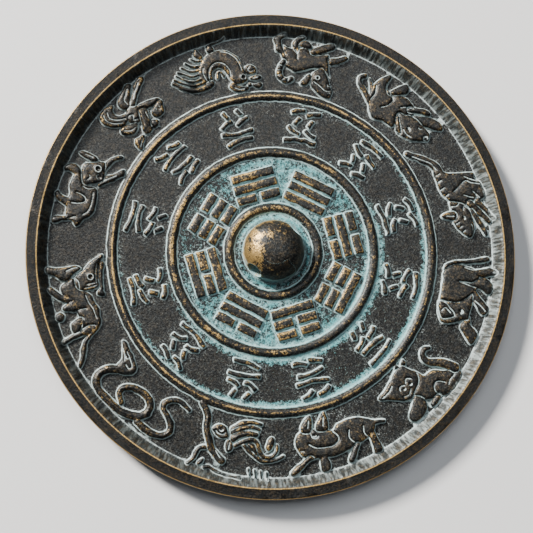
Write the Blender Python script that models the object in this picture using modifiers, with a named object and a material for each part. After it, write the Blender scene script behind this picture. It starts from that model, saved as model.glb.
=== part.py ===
"""Models a round cast bronze mirror that lies on its plain face, with its decorated back up.

The mirror is one solid. A turned blank gives the plate, the rim, three rings and the knob, a
bore for a cord goes through the knob, and the low relief is united with the plate: eight
groups of bars, twelve clusters of strokes and twelve animals. Sizes are in millimetres and
the finished mesh is in metres. +Z points out of the decorated back.
"""

import math
from collections import namedtuple

import bmesh
import bpy
from mathutils import Vector

MM = 0.001

# The plate and its rim.
OUTER_RADIUS = 60.0
FIELD_HEIGHT = 2.5
RIM_HEIGHT = 5.2
RIM_LAND_WIDTH = 2.3
RIM_WALL_RUN = 2.4
RIM_EDGE_ROUNDING = 0.35
FACE_EDGE_ROUNDING = 0.5
TURNED_STEPS = 52
FLAT_WITHIN_DEGREES = 0.5

# The three rings on the field. A ring's radius is that of the middle of its crest.
OUTER_RING_RADIUS = 39.5
MIDDLE_RING_RADIUS = 25.0
INNER_RING_RADIUS = 11.0
RING_FOOT_WIDTH = 3.1
RING_CREST_WIDTH = 1.3
RING_RISE = 0.85

# The knob and the bore that its cord goes through.
KNOB_RADIUS = 7.6
KNOB_RISE = 7.3
KNOB_FULLNESS = 2.5
KNOB_STEPS = 6
KNOB_COLLAR_RADIUS = 8.6
KNOB_COLLAR_RISE = 0.3
BORE_DIAMETER = 4.4
BORE_CENTRE_RISE = 2.6
BORE_OVERRUN = 0.5
BORE_AZIMUTH = 46.0
BORE_STEPS = 20

# The relief stands on the field. Its sides slope, and it is sunk so that it joins the plate.
RELIEF_RISE = 0.9
RELIEF_SLOPE_RUN = 0.4
RELIEF_SUNK = 0.3
LAYER_STEP = 0.03
DEGREES_PER_ARC_STEP = 45.0
NARROW_LIMB = 1.7
NARROW_END_SHARES = ((0.7, 0.0),)
WIDE_END_SHARES = ((0.66, 0.62), (0.66, -0.62))
MOST_SLOPE_SHARE = 0.26

# A group of bars, listed from the outer bar to the inner one. A broken bar has a gap.
BAR_LENGTH = 11.0
BAR_WIDTH = 1.95
BAR_PITCH = 2.8
BAR_GAP = 1.0
BAR_RISE = 0.8
BAR_SLOPE_RUN = 0.2
BarGroup = namedtuple("BarGroup", "azimuth radius turn bars")
BAR_GROUPS = (
    BarGroup(azimuth=-29.2, radius=18.2, turn=1.6, bars=("whole", "broken", "broken")),
    BarGroup(azimuth=-72.6, radius=17.9, turn=-0.3, bars=("broken", "broken", "whole")),
    BarGroup(azimuth=-116.5, radius=17.6, turn=-1.0, bars=("broken", "whole", "whole")),
    BarGroup(azimuth=-161.7, radius=17.4, turn=-1.0, bars=("whole", "broken", "whole")),
    BarGroup(azimuth=152.4, radius=16.9, turn=-3.4, bars=("broken", "broken", "broken")),
    BarGroup(azimuth=105.3, radius=16.9, turn=1.3, bars=("whole", "whole", "broken")),
    BarGroup(azimuth=59.1, radius=17.1, turn=5.7, bars=("whole", "whole", "whole")),
    BarGroup(azimuth=13.6, radius=17.9, turn=1.3, bars=("broken", "whole", "broken")),
)

# A cluster is a few rows of plain curved strokes. Each row has a number of strokes of one
# length, set at a slant and bent by an angle.
CLUSTER_COUNT = 12
CLUSTER_RADIUS = 32.3
CLUSTER_FIRST_AZIMUTH = 16.8
CLUSTER_ROW_PITCH = 2.5
STROKE_WIDTH = 1.15
STROKE_RISE = 0.75
STROKE_SLOPE_RUN = 0.3
StrokeRow = namedtuple("StrokeRow", "count pitch length slant bend")
STROKE_ROWS = (
    StrokeRow(count=1, pitch=0.0, length=7.6, slant=4.0, bend=26.0),
    StrokeRow(count=2, pitch=4.2, length=3.0, slant=-24.0, bend=-40.0),
    StrokeRow(count=2, pitch=3.4, length=1.7, slant=58.0, bend=0.0),
    StrokeRow(count=2, pitch=3.9, length=3.2, slant=18.0, bend=34.0),
    StrokeRow(count=1, pitch=0.0, length=6.2, slant=-6.0, bend=-30.0),
)
ROWS_PER_CLUSTER = 4

# The animals stand with their feet to the rim. Each is a set of limbs in a frame of its own,
# drawn at real size for a band DRAWN_BAND_WIDTH wide: x runs counterclockwise along the band
# and y toward the centre. A limb starts at x, y and goes off on its heading, turns evenly
# along its length, and narrows from its width to its tip. Angles are in degrees.
ANIMAL_FIRST_AZIMUTH = -12.0
ANIMAL_DRAWN_RADIUS = 48.5
DRAWN_WALL_FOOT_RADIUS = 55.0
DRAWN_BAND_WIDTH = 13.95
Limb = namedtuple("Limb", "x y heading length turn width tip")
OX = dict(
    body=Limb(0.2, 1.7, 0, 3.8, 0, 8.0, 7.6),
    head=Limb(-4.0, 3.6, -115, 4.6, 0, 4.6, 3.4),
    horn=Limb(-4.6, 4.7, 190, 3.4, 45, 1.2, 0.7),
    tail=Limb(6.0, 5.2, -66, 10.4, 4, 0.9, 0.8),
    reaching_leg=Limb(-6.2, -1.0, -141, 5.4, 0, 2.4, 2.0),
    front_leg=Limb(-1.2, -2.0, -112, 4.8, 0, 2.6, 2.2),
    hind_leg=Limb(2.8, -1.8, -92, 5.0, 0, 3.0, 2.6),
    far_leg=Limb(6.4, -1.0, -86, 6.0, 0, 1.8, 1.1),
)
TIGER = dict(
    brow=Limb(-8.6, 4.8, 0, 6.6, 8, 1.8, 4.6),
    chin=Limb(-2.9, 3.2, -62, 2.8, 0, 6.0, 4.4),
    ear=Limb(-2.0, 6.0, 60, 1.9, 0, 1.7, 0.7),
    far_ear=Limb(0.2, 5.6, 44, 2.2, 0, 1.7, 0.7),
    body=Limb(-1.6, -1.0, -25, 6.0, 0, 5.4, 6.2),
    haunch=Limb(4.8, -3.4, -46, 3.0, 0, 5.8, 4.6),
    front_leg=Limb(-2.6, -2.0, -144, 5.6, 0, 2.2, 1.8),
    far_leg=Limb(-0.8, -4.0, -158, 4.8, 0, 1.8, 1.4),
    tail=Limb(9.4, -4.2, 92, 7.2, 48, 1.7, 1.5),
    tail_tip=Limb(6.6, 2.2, 132, 6.2, -215, 1.5, 1.2),
)
RABBIT = dict(
    ear=Limb(-5.9, 4.0, 68, 3.8, 0, 2.6, 0.7),
    far_ear=Limb(-2.5, 3.7, 66, 4.0, 0, 3.2, 0.8),
    head=Limb(-7.2, 2.2, -2, 5.0, 0, 5.2, 4.8),
    neck=Limb(-6.4, 0.0, -28, 5.0, 0, 4.4, 4.8),
    body=Limb(-3.2, -0.5, 8, 11.4, 0, 5.6, 3.8),
    tail=Limb(9.8, 1.6, -4, 3.6, 0, 1.4, 0.9),
    reaching_leg=Limb(-7.2, -1.7, -158, 6.0, 0, 1.7, 1.3),
    front_leg=Limb(-4.4, -2.4, -88, 3.6, 0, 1.6, 1.3),
    hind_leg=Limb(4.4, -2.2, -124, 4.2, 0, 1.7, 1.1),
    far_leg=Limb(8.8, -0.8, -84, 5.0, 0, 2.6, 1.9),
)
DRAGON = dict(
    horn=Limb(-9.0, 8.3, -60, 3.4, -30, 1.1, 1.6),
    neck=Limb(-7.5, 5.6, -92, 12.0, 58, 1.6, 1.9),
    foreleg=Limb(-5.8, -1.0, 212, 6.8, 32, 1.4, 1.1),
    foot=Limb(-7.4, -5.7, 0, 1.2, 0, 1.2, 2.2),
    jaw=Limb(-6.0, 3.3, 38, 7.8, -225, 1.3, 1.0),
    beard=Limb(-1.2, 1.2, -82, 2.0, 0, 1.1, 0.8),
    mane=Limb(-1.4, 3.4, 60, 8.4, -62, 1.3, 0.9),
    low_mane=Limb(-0.4, 1.4, 50, 6.2, -58, 1.5, 1.0),
    body=Limb(2.6, 1.0, 42, 5.6, -100, 1.5, 1.4),
    coil=Limb(6.8, -0.3, -56, 6.0, 150, 1.4, 1.1),
    curl=Limb(9.0, 3.8, -102, 3.0, 30, 1.0, 0.9),
    tail=Limb(8.3, -2.0, 20, 5.0, 12, 1.0, 0.7),
    ground=Limb(-5.0, -5.9, -18, 8.2, 20, 0.9, 0.9),
)
SNAKE = dict(
    head=Limb(-11.2, 7.2, -40, 4.6, 0, 0.9, 3.6),
    neck=Limb(-7.4, 4.4, 232, 6.4, 20, 1.9, 1.9),
    bend=Limb(-10.7, -0.9, 252, 6.0, 100, 1.9, 1.9),
    belly=Limb(-7.4, -4.8, -8, 8.6, 22, 1.9, 1.9),
    coil=Limb(0.8, -4.3, 14, 10.0, 184, 1.9, 1.8),
    heart=Limb(-0.4, 1.5, 190, 6.2, 112, 1.8, 1.1),
    low_tail=Limb(3.2, -4.8, 4, 5.6, 16, 1.8, 1.6),
    tail_bend=Limb(8.6, -4.0, 20, 6.2, 135, 1.6, 1.4),
    rise=Limb(9.7, 0.9, 155, 4.8, -30, 1.4, 1.3),
    tip=Limb(5.5, 2.7, 100, 8.0, -125, 1.3, 0.8),
)
HORSE = dict(
    head=Limb(-8.8, 4.4, -12, 2.8, 0, 3.4, 4.4),
    ear=Limb(-10.1, 6.2, 112, 2.9, 0, 1.4, 0.6),
    mane=Limb(-9.4, 7.2, -12, 5.2, 0, 1.2, 1.0),
    tuft=Limb(-3.2, 5.9, -60, 1.6, 0, 1.0, 0.8),
    neck=Limb(-7.0, 2.2, -38, 4.0, 0, 3.2, 4.2),
    body=Limb(-3.8, 0.6, 0, 7.0, 0, 4.8, 4.4),
    tail=Limb(4.6, 2.4, -58, 11.4, 30, 2.0, 0.7),
    reaching_leg=Limb(-9.3, 2.0, -96, 8.0, -16, 1.6, 1.2),
    front_leg=Limb(-4.0, -1.3, -122, 5.8, 0, 1.7, 1.1),
    stub=Limb(-2.4, -1.2, -70, 3.0, 0, 1.5, 1.0),
    hind_leg=Limb(1.9, -1.0, -86, 2.8, 0, 1.8, 1.4),
    shin=Limb(2.2, -3.3, -14, 2.8, 0, 1.3, 1.1),
    hoof=Limb(0.2, -5.2, -90, 1.2, 0, 1.1, 1.1),
    far_leg=Limb(5.2, -0.8, -83, 6.0, 0, 2.0, 1.1),
)
GOAT = dict(
    horn=Limb(-8.2, 2.6, 117, 6.2, 0, 2.4, 0.8),
    far_horn=Limb(-10.6, 4.2, 145, 4.5, 0, 1.8, 0.7),
    head=Limb(-9.5, 2.4, -82, 3.2, 0, 4.4, 3.6),
    ear=Limb(-12.7, 1.2, -105, 4.4, 0, 1.4, 1.0),
    neck=Limb(-8.2, 0.4, -38, 4.0, 0, 4.0, 4.4),
    body=Limb(-4.4, -0.1, 12, 5.8, -26, 5.6, 5.2),
    tail=Limb(1.8, 0.8, -24, 3.0, 0, 2.0, 0.9),
    front_leg=Limb(-8.6, -2.3, -125, 2.6, 0, 1.9, 1.5),
    shin=Limb(-9.9, -4.3, -55, 2.6, 0, 1.5, 1.3),
    hind_leg=Limb(-0.8, -2.2, -111, 4.4, 0, 2.4, 1.8),
    far_leg=Limb(2.4, -1.6, -66, 4.6, 0, 2.8, 1.8),
)
MONKEY = dict(
    peach=Limb(0.9, 5.7, 28, 2.2, 0, 1.7, 2.6),
    arm=Limb(-4.2, 0.1, 172, 7.6, -128, 1.9, 1.5),
    ear=Limb(-4.8, 5.8, -22, 1.4, 0, 1.5, 1.5),
    head=Limb(-1.9, 4.3, -122, 3.8, 0, 2.8, 2.2),
    shoulder=Limb(0.9, 3.4, -45, 3.4, 0, 1.9, 1.9),
    chest=Limb(-0.8, 2.6, -84, 2.8, 0, 2.4, 3.2),
    torso=Limb(-1.9, 0.6, -90, 1.8, 0, 4.0, 3.4),
    back=Limb(-0.4, -0.6, -6, 7.6, -112, 2.5, 1.8),
    reaching_leg=Limb(-3.0, -1.5, -154, 7.2, 0, 2.6, 1.3),
    leg=Limb(-2.4, -2.5, -136, 4.8, 0, 2.4, 1.9),
)
ROOSTER = dict(
    comb=Limb(-9.8, 7.4, -20, 0.7, 0, 1.5, 1.5),
    low_comb=Limb(-10.2, 5.4, 0, 1.2, 0, 1.5, 1.4),
    mid_comb=Limb(-7.3, 6.5, -10, 0.6, 0, 1.3, 1.3),
    crest=Limb(-5.8, 7.4, -28, 3.0, 0, 1.6, 2.4),
    head=Limb(-6.4, 4.6, 8, 2.0, 0, 2.8, 3.2),
    wattle=Limb(-9.3, 2.5, 30, 1.0, 0, 2.6, 2.6),
    neck=Limb(-5.4, 3.8, -88, 5.2, 0, 3.2, 3.8),
    breast=Limb(-4.6, -1.5, -32, 5.8, 48, 4.4, 4.0),
    saddle=Limb(0.4, -2.0, 55, 5.0, 20, 3.4, 2.4),
    wing=Limb(-2.4, 2.4, -72, 4.0, 155, 0.9, 0.9),
    plume=Limb(1.8, 3.0, 32, 10.2, -72, 2.0, 1.3),
    feather_1=Limb(3.6, 2.5, 6, 7.0, -36, 1.1, 1.0),
    feather_2=Limb(3.4, 1.3, 2, 6.2, -38, 1.1, 1.0),
    feather_3=Limb(3.5, 0.1, 0, 5.2, -46, 1.1, 1.0),
    feather_4=Limb(3.2, -1.1, -6, 4.2, -52, 1.0, 0.9),
    feather_5=Limb(2.6, -2.6, -6, 3.8, -66, 1.0, 0.9),
    foot=Limb(0.0, -4.0, -100, 1.8, 0, 1.7, 1.4),
    spur=Limb(3.2, -4.2, -98, 2.0, 0, 1.8, 1.2),
    toe=Limb(-4.2, -6.3, 5, 6.6, 0, 0.9, 0.9),
)
DOG = dict(
    snout=Limb(-5.1, 6.3, -27, 5.2, 0, 2.0, 1.8),
    head=Limb(-3.8, 4.0, -32, 2.4, 0, 3.6, 3.6),
    ear=Limb(0.4, 3.6, 42, 1.9, 0, 1.0, 2.0),
    neck=Limb(-2.9, 1.2, -72, 2.8, 0, 4.0, 4.4),
    body=Limb(-1.6, -1.2, 6, 8.6, 0, 4.6, 5.0),
    tail=Limb(8.0, 0.4, 76, 9.6, 196, 1.7, 1.5),
    reaching_leg=Limb(-3.4, -1.9, -152, 5.0, 0, 2.2, 2.0),
    front_leg=Limb(-0.6, -3.5, -146, 4.6, 0, 2.4, 2.0),
    hind_leg=Limb(4.8, -2.6, -108, 4.2, 0, 3.0, 1.8),
    far_leg=Limb(8.2, -1.4, -62, 4.8, 0, 2.8, 1.8),
)
PIG = dict(
    snout=Limb(-8.9, 0.9, 20, 2.4, 0, 2.8, 4.2),
    head=Limb(-6.6, 1.6, 16, 3.4, 0, 4.4, 5.6),
    ear=Limb(-2.4, 3.6, -46, 3.6, 0, 2.2, 1.0),
    reaching_leg=Limb(-3.4, -0.6, -152, 5.8, 0, 3.0, 2.4),
    front_leg=Limb(-1.0, -1.7, -145, 4.8, 0, 2.0, 1.5),
    body=Limb(0.2, 1.0, 10, 5.2, 0, 6.6, 8.0),
    rump=Limb(5.6, 2.0, -24, 2.4, 0, 7.0, 5.0),
    tail=Limb(7.8, 3.6, -24, 6.4, -8, 1.7, 1.1),
    low_tail=Limb(8.8, 1.4, -50, 3.8, 0, 0.9, 0.7),
    hind_leg=Limb(3.9, -1.4, -106, 4.2, 0, 3.2, 2.0),
    far_leg=Limb(8.2, -0.4, -84, 4.6, 0, 2.8, 2.0),
)
RAT = dict(
    head=Limb(-10.2, 0.2, 2, 5.8, 0, 2.2, 4.4),
    ear=Limb(-5.0, 2.0, 82, 3.0, 0, 1.7, 1.1),
    far_ear=Limb(-4.3, 1.7, 12, 3.4, -95, 1.0, 0.9),
    neck=Limb(-3.8, -0.4, -20, 3.0, 0, 4.0, 4.8),
    body=Limb(-1.4, -0.9, 8, 5.6, 0, 5.6, 5.8),
    tail=Limb(5.4, 2.1, 6, 12.0, 50, 2.4, 1.5),
    jaw=Limb(-5.2, -2.1, 194, 6.4, 0, 1.2, 1.0),
    front_leg=Limb(-3.0, -2.6, -152, 6.4, 0, 1.9, 1.6),
    low_leg=Limb(-4.2, -4.4, -158, 4.6, 0, 1.8, 1.5),
    belly=Limb(-1.2, -3.4, -10, 2.8, 0, 2.8, 2.6),
    hind_foot=Limb(-2.2, -6.0, 8, 1.2, 0, 1.8, 1.6),
    hind_leg=Limb(3.4, -2.4, -116, 5.0, 0, 3.4, 2.2),
    rump=Limb(4.6, -0.6, -95, 4.0, 0, 2.6, 1.8),
)
ANIMALS = (OX, TIGER, RABBIT, DRAGON, SNAKE, HORSE, GOAT, MONKEY, ROOSTER, DOG, PIG, RAT)

# Dark cast bronze.
BRONZE_COLOUR = (0.055, 0.047, 0.040, 1.0)
BRONZE_ROUGHNESS = 0.48
BRONZE_METALLIC = 0.85

# Sizes that follow from those above.
RIM_INNER_RADIUS = OUTER_RADIUS - RIM_EDGE_ROUNDING - RIM_LAND_WIDTH
WALL_FOOT_RADIUS = RIM_INNER_RADIUS - RIM_WALL_RUN
BAND_INNER_RADIUS = OUTER_RING_RADIUS + RING_FOOT_WIDTH / 2
ANIMAL_SCALE = (WALL_FOOT_RADIUS - BAND_INNER_RADIUS) / DRAWN_BAND_WIDTH


def clear_scene():
    """Removes every object, mesh and material that the file opened with."""
    for obj in list(bpy.data.objects):
        bpy.data.objects.remove(obj, do_unlink=True)
    for mesh in list(bpy.data.meshes):
        bpy.data.meshes.remove(mesh)
    for material in list(bpy.data.materials):
        bpy.data.materials.remove(material)


def new_collection(name):
    """Makes a collection under the scene's own."""
    collection = bpy.data.collections.new(name)
    bpy.context.scene.collection.children.link(collection)
    return collection


def bronze():
    """Makes the material of the whole casting."""
    material = bpy.data.materials.new("dark_bronze")
    material.use_nodes = True
    shader = material.node_tree.nodes["Principled BSDF"]
    shader.inputs["Base Color"].default_value = BRONZE_COLOUR
    shader.inputs["Roughness"].default_value = BRONZE_ROUGHNESS
    shader.inputs["Metallic"].default_value = BRONZE_METALLIC
    return material


def mesh_object(name, bm, collection):
    """Turns a bmesh in millimetres into an object in metres."""
    bmesh.ops.scale(bm, verts=bm.verts, vec=(MM, MM, MM))
    mesh = bpy.data.meshes.new(name)
    bm.to_mesh(mesh)
    bm.free()
    obj = bpy.data.objects.new(name, mesh)
    collection.objects.link(obj)
    return obj


def ring_profile(radius):
    """Lists the section of one ring from its inner foot to its outer foot."""
    half_foot = RING_FOOT_WIDTH / 2
    half_crest = RING_CREST_WIDTH / 2
    crest = FIELD_HEIGHT + RING_RISE
    return [
        (radius - half_foot, FIELD_HEIGHT),
        (radius - half_crest, crest),
        (radius + half_crest, crest),
        (radius + half_foot, FIELD_HEIGHT),
    ]


def knob_profile():
    """Lists the section of the knob and its collar, from the axis outward.

    The dome is fuller than an ellipse, so its flank is steep where the bore opens.
    """
    collar = FIELD_HEIGHT + KNOB_COLLAR_RISE
    dome_rise = KNOB_RISE - KNOB_COLLAR_RISE
    power = 2 / KNOB_FULLNESS
    section = [(0.0, collar + dome_rise)]
    for step in range(1, KNOB_STEPS):
        climb = math.pi / 2 * (1 - step / KNOB_STEPS)
        out = KNOB_RADIUS * math.cos(climb) ** power
        section.append((out, collar + dome_rise * math.sin(climb) ** power))
    section.append((KNOB_RADIUS, collar))
    section.append((KNOB_COLLAR_RADIUS - KNOB_COLLAR_RISE, collar))
    section.append((KNOB_COLLAR_RADIUS, FIELD_HEIGHT))
    return section


def rim_profile():
    """Lists the section from the foot of the rim's inner wall round to the plain face."""
    return [
        (WALL_FOOT_RADIUS, FIELD_HEIGHT),
        (RIM_INNER_RADIUS, RIM_HEIGHT),
        (OUTER_RADIUS - RIM_EDGE_ROUNDING, RIM_HEIGHT),
        (OUTER_RADIUS, RIM_HEIGHT - RIM_EDGE_ROUNDING),
        (OUTER_RADIUS, FACE_EDGE_ROUNDING),
        (OUTER_RADIUS - FACE_EDGE_ROUNDING, 0.0),
        (0.0, 0.0),
    ]


def turned_blank(collection):
    """Turns the whole section about the mirror's axis."""
    section = knob_profile()
    for radius in (INNER_RING_RADIUS, MIDDLE_RING_RADIUS, OUTER_RING_RADIUS):
        section += ring_profile(radius)
    section += rim_profile()
    bm = bmesh.new()
    chain = [bm.verts.new((radius, 0.0, height)) for radius, height in section]
    for start, end in zip(chain, chain[1:]):
        bm.edges.new((start, end))
    blank = mesh_object("mirror", bm, collection)
    turning = blank.modifiers.new("turning", "SCREW")
    turning.axis = "Z"
    turning.steps = TURNED_STEPS
    turning.render_steps = TURNED_STEPS
    turning.use_merge_vertices = True
    turning.merge_threshold = 0.01 * MM
    turning.use_smooth_shade = True
    joining = blank.modifiers.new("flat_faces_joined", "DECIMATE")
    joining.decimate_type = "DISSOLVE"
    joining.angle_limit = math.radians(FLAT_WITHIN_DEGREES)
    return blank


def bore_cutter(collection):
    """Makes the rod that cuts the cord's bore through the knob."""
    length = 2 * (KNOB_COLLAR_RADIUS + BORE_OVERRUN)
    bm = bmesh.new()
    bmesh.ops.create_cone(
        bm,
        cap_ends=True,
        segments=BORE_STEPS,
        radius1=BORE_DIAMETER / 2,
        radius2=BORE_DIAMETER / 2,
        depth=length,
    )
    cutter = mesh_object("bore_cutter", bm, collection)
    cutter.location = (0.0, 0.0, (FIELD_HEIGHT + BORE_CENTRE_RISE) * MM)
    cutter.rotation_euler = (math.pi / 2, 0.0, math.radians(BORE_AZIMUTH + 90.0))
    return cutter


def place(azimuth, radius, turn, scale, point):
    """Takes a point of a motif's own frame to the mirror's field.

    The motif's x runs counterclockwise along the band and its y toward the centre.
    """
    out = Vector((math.cos(math.radians(azimuth)), math.sin(math.radians(azimuth))))
    upright = math.radians(azimuth + turn + 180.0)
    inward = Vector((math.cos(upright), math.sin(upright)))
    along = Vector((inward.y, -inward.x))
    return out * radius + (along * point[0] + inward * point[1]) * scale


def limb_outline(limb):
    """Works out the plan outline of a limb, counterclockwise, with rounded ends."""
    steps = max(1, math.ceil(abs(limb.turn) / DEGREES_PER_ARC_STEP))
    spot = Vector((limb.x, limb.y))
    heading = math.radians(limb.heading)
    turn = math.radians(limb.turn) / steps
    left, right = [], []
    for step in range(steps + 1):
        ahead = Vector((math.cos(heading), math.sin(heading)))
        side = Vector((-ahead.y, ahead.x))
        half = (limb.width + (limb.tip - limb.width) * step / steps) / 2
        left.append(spot + side * half)
        right.append(spot - side * half)
        shares = NARROW_END_SHARES if 2 * half < NARROW_LIMB else WIDE_END_SHARES
        if step == 0:
            start_cap = [spot - ahead * half * a - side * half * b for a, b in shares]
        if step == steps:
            end_cap = [spot + ahead * half * a + side * half * b for a, b in shares]
        chord = heading + turn / 2
        spot = spot + Vector((math.cos(chord), math.sin(chord))) * limb.length / steps
        heading += turn
    return right + end_cap[::-1] + left[::-1] + start_cap[::-1]


def grown(outline, distance):
    """Moves each corner of a counterclockwise outline outward by a distance."""
    moved = []
    for index, corner in enumerate(outline):
        before = (corner - outline[index - 1]).normalized()
        after = (outline[(index + 1) % len(outline)] - corner).normalized()
        bisector = (before + after).normalized()
        normal = Vector((bisector.y, -bisector.x))
        across = max(normal.dot(Vector((after.y, -after.x))), 0.5)
        moved.append(corner + normal * distance / across)
    return moved


def add_prism(bm, outline, rise, run):
    """Adds a closed solid with sloping sides that stands on the field and is sunk in it."""
    foot = grown(outline, run * RELIEF_SUNK / rise)
    top = grown(outline, -run)
    low = [bm.verts.new((spot.x, spot.y, FIELD_HEIGHT - RELIEF_SUNK)) for spot in foot]
    high = [bm.verts.new((spot.x, spot.y, FIELD_HEIGHT + rise)) for spot in top]
    bm.faces.new(low[::-1])
    bm.faces.new(high)
    for index in range(len(low)):
        after = (index + 1) % len(low)
        bm.faces.new((low[index], low[after], high[after], high[index]))


def add_limb(bm, limb, azimuth, radius, turn, scale, rise, slope_run):
    """Adds one limb or stroke at its place on the mirror."""
    outline = [place(azimuth, radius, turn, scale, spot) for spot in limb_outline(limb)]
    narrowest = min(limb.width, limb.tip) * scale
    add_prism(bm, outline, rise, min(slope_run, MOST_SLOPE_SHARE * narrowest))


def add_bar_groups(bm):
    """Adds the eight groups of three bars, each bar whole or broken."""
    half_bar = (BAR_LENGTH - BAR_GAP) / 2
    spans = {
        "whole": ((-BAR_LENGTH / 2, BAR_LENGTH / 2),),
        "broken": ((-BAR_LENGTH / 2, half_bar - BAR_LENGTH / 2), (BAR_GAP / 2, BAR_LENGTH / 2)),
    }
    for group in BAR_GROUPS:
        for row, kind in enumerate(group.bars):
            low = (row - 1) * BAR_PITCH - BAR_WIDTH / 2
            high = low + BAR_WIDTH
            for start, end in spans[kind]:
                corners = ((start, low), (end, low), (end, high), (start, high))
                outline = [place(group.azimuth, group.radius, group.turn, 1.0, c) for c in corners]
                add_prism(bm, outline, BAR_RISE, BAR_SLOPE_RUN)


def add_clusters(bm):
    """Adds the twelve clusters of plain strokes. Each starts on another of the rows."""
    top_row = (ROWS_PER_CLUSTER - 1) / 2 * CLUSTER_ROW_PITCH
    for cluster in range(CLUSTER_COUNT):
        azimuth = CLUSTER_FIRST_AZIMUTH - cluster * 360.0 / CLUSTER_COUNT
        mirrored = -1 if cluster % 2 else 1
        for line in range(ROWS_PER_CLUSTER):
            row = STROKE_ROWS[(cluster + line) % len(STROKE_ROWS)]
            middle_y = top_row - line * CLUSTER_ROW_PITCH
            for stroke in range(row.count):
                middle_x = (stroke - (row.count - 1) / 2) * row.pitch
                slant = mirrored * row.slant
                bend = mirrored * row.bend
                back = Vector((math.cos(math.radians(slant)), math.sin(math.radians(slant))))
                start = Vector((middle_x, middle_y)) - back * row.length / 2
                limb = Limb(start.x, start.y, slant - bend / 2, row.length, bend, STROKE_WIDTH, STROKE_WIDTH)
                add_limb(bm, limb, azimuth, CLUSTER_RADIUS, 0.0, 1.0, STROKE_RISE, STROKE_SLOPE_RUN)


def add_animals(bm):
    """Adds the twelve animals. Each limb is a little lower than the one before it."""
    radius = WALL_FOOT_RADIUS - (DRAWN_WALL_FOOT_RADIUS - ANIMAL_DRAWN_RADIUS) * ANIMAL_SCALE
    for number, animal in enumerate(ANIMALS):
        azimuth = ANIMAL_FIRST_AZIMUTH - number * 360.0 / len(ANIMALS)
        for layer, limb in enumerate(animal.values()):
            rise = RELIEF_RISE - layer * LAYER_STEP / 2
            add_limb(bm, limb, azimuth, radius, 0.0, ANIMAL_SCALE, rise, RELIEF_SLOPE_RUN)


def relief(collection):
    """Makes all the low relief as one mesh of overlapping closed solids."""
    bm = bmesh.new()
    add_bar_groups(bm)
    add_clusters(bm)
    add_animals(bm)
    return mesh_object("relief", bm, collection)


def add_boolean(target, name, operation, other, crossing):
    """Adds an exact Boolean. Crossing is true where the other mesh crosses itself."""
    boolean = target.modifiers.new(name, "BOOLEAN")
    boolean.operation = operation
    boolean.solver = "EXACT"
    boolean.object = other
    boolean.use_self = crossing
    other.hide_render = True
    other.display_type = "WIRE"


def build():
    """Builds the mirror."""
    clear_scene()
    mirror_collection = new_collection("mirror")
    tools = new_collection("tools")
    tools.hide_render = True
    mirror = turned_blank(mirror_collection)
    mirror.data.materials.append(bronze())
    add_boolean(mirror, "bore", "DIFFERENCE", bore_cutter(tools), False)
    add_boolean(mirror, "relief", "UNION", relief(tools), True)
    bpy.context.view_layer.update()


build()
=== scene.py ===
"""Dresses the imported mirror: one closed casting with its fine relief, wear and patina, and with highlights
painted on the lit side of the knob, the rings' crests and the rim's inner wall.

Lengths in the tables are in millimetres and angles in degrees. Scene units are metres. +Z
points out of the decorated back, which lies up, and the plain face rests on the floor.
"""

import math
from collections import namedtuple

import bmesh
import bpy
import numpy as np
from mathutils import Matrix, Vector


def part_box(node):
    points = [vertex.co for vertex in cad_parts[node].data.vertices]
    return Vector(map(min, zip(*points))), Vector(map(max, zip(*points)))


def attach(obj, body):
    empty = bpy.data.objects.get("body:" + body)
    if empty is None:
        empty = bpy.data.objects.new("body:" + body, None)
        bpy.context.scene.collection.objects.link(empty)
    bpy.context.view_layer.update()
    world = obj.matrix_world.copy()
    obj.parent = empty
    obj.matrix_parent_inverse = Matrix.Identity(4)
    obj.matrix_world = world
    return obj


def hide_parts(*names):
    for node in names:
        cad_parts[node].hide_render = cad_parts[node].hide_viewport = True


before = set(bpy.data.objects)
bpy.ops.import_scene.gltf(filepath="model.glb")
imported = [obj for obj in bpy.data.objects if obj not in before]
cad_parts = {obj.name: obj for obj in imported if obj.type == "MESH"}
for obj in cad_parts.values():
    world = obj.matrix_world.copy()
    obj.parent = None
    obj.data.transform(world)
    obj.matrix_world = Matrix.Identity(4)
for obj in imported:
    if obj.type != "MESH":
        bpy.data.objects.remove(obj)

bl_info = {
    "name": "Bronze Mirror",
    "version": (1, 0, 0),
    "blender": (4, 5, 0),
    "location": "3D View > Sidebar > Mirror",
    "description": "Builds a cast bronze mirror with low relief, worn edges and patina",
    "category": "Object",
}

MM = 0.001
LOW_CORNER, HIGH_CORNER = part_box("mirror")

# The three rings of the field: the radius of the middle of each crest.
RING_RADII = (11.0, 25.0, 39.5)
RING_FOOT_WIDTH = 3.1
RING_CREST_WIDTH = 1.2
RING_LINE_OFFSET = 1.28
RING_RISE = 0.85
RING_PATINA_REACH = 1.4

# The knob, its collar and its bore.
KNOB_RADIUS = 7.6
KNOB_COLLAR_RADIUS = 8.6
KNOB_COLLAR_RISE = 0.3
KNOB_FULLNESS = 2.5
BORE_RADIUS = 2.2
BORE_CENTRE_RISE = 2.6
BORE_AZIMUTH = 46.0
BORE_SIDES = 64

# The rim.
WALL_FOOT_RADIUS = 54.95
RIM_INNER_RADIUS = 57.35
RELIEF_END_RADIUS = 57.0
RIM_EDGE_ROUNDING = 0.35
FACE_EDGE_ROUNDING = 0.5

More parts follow.
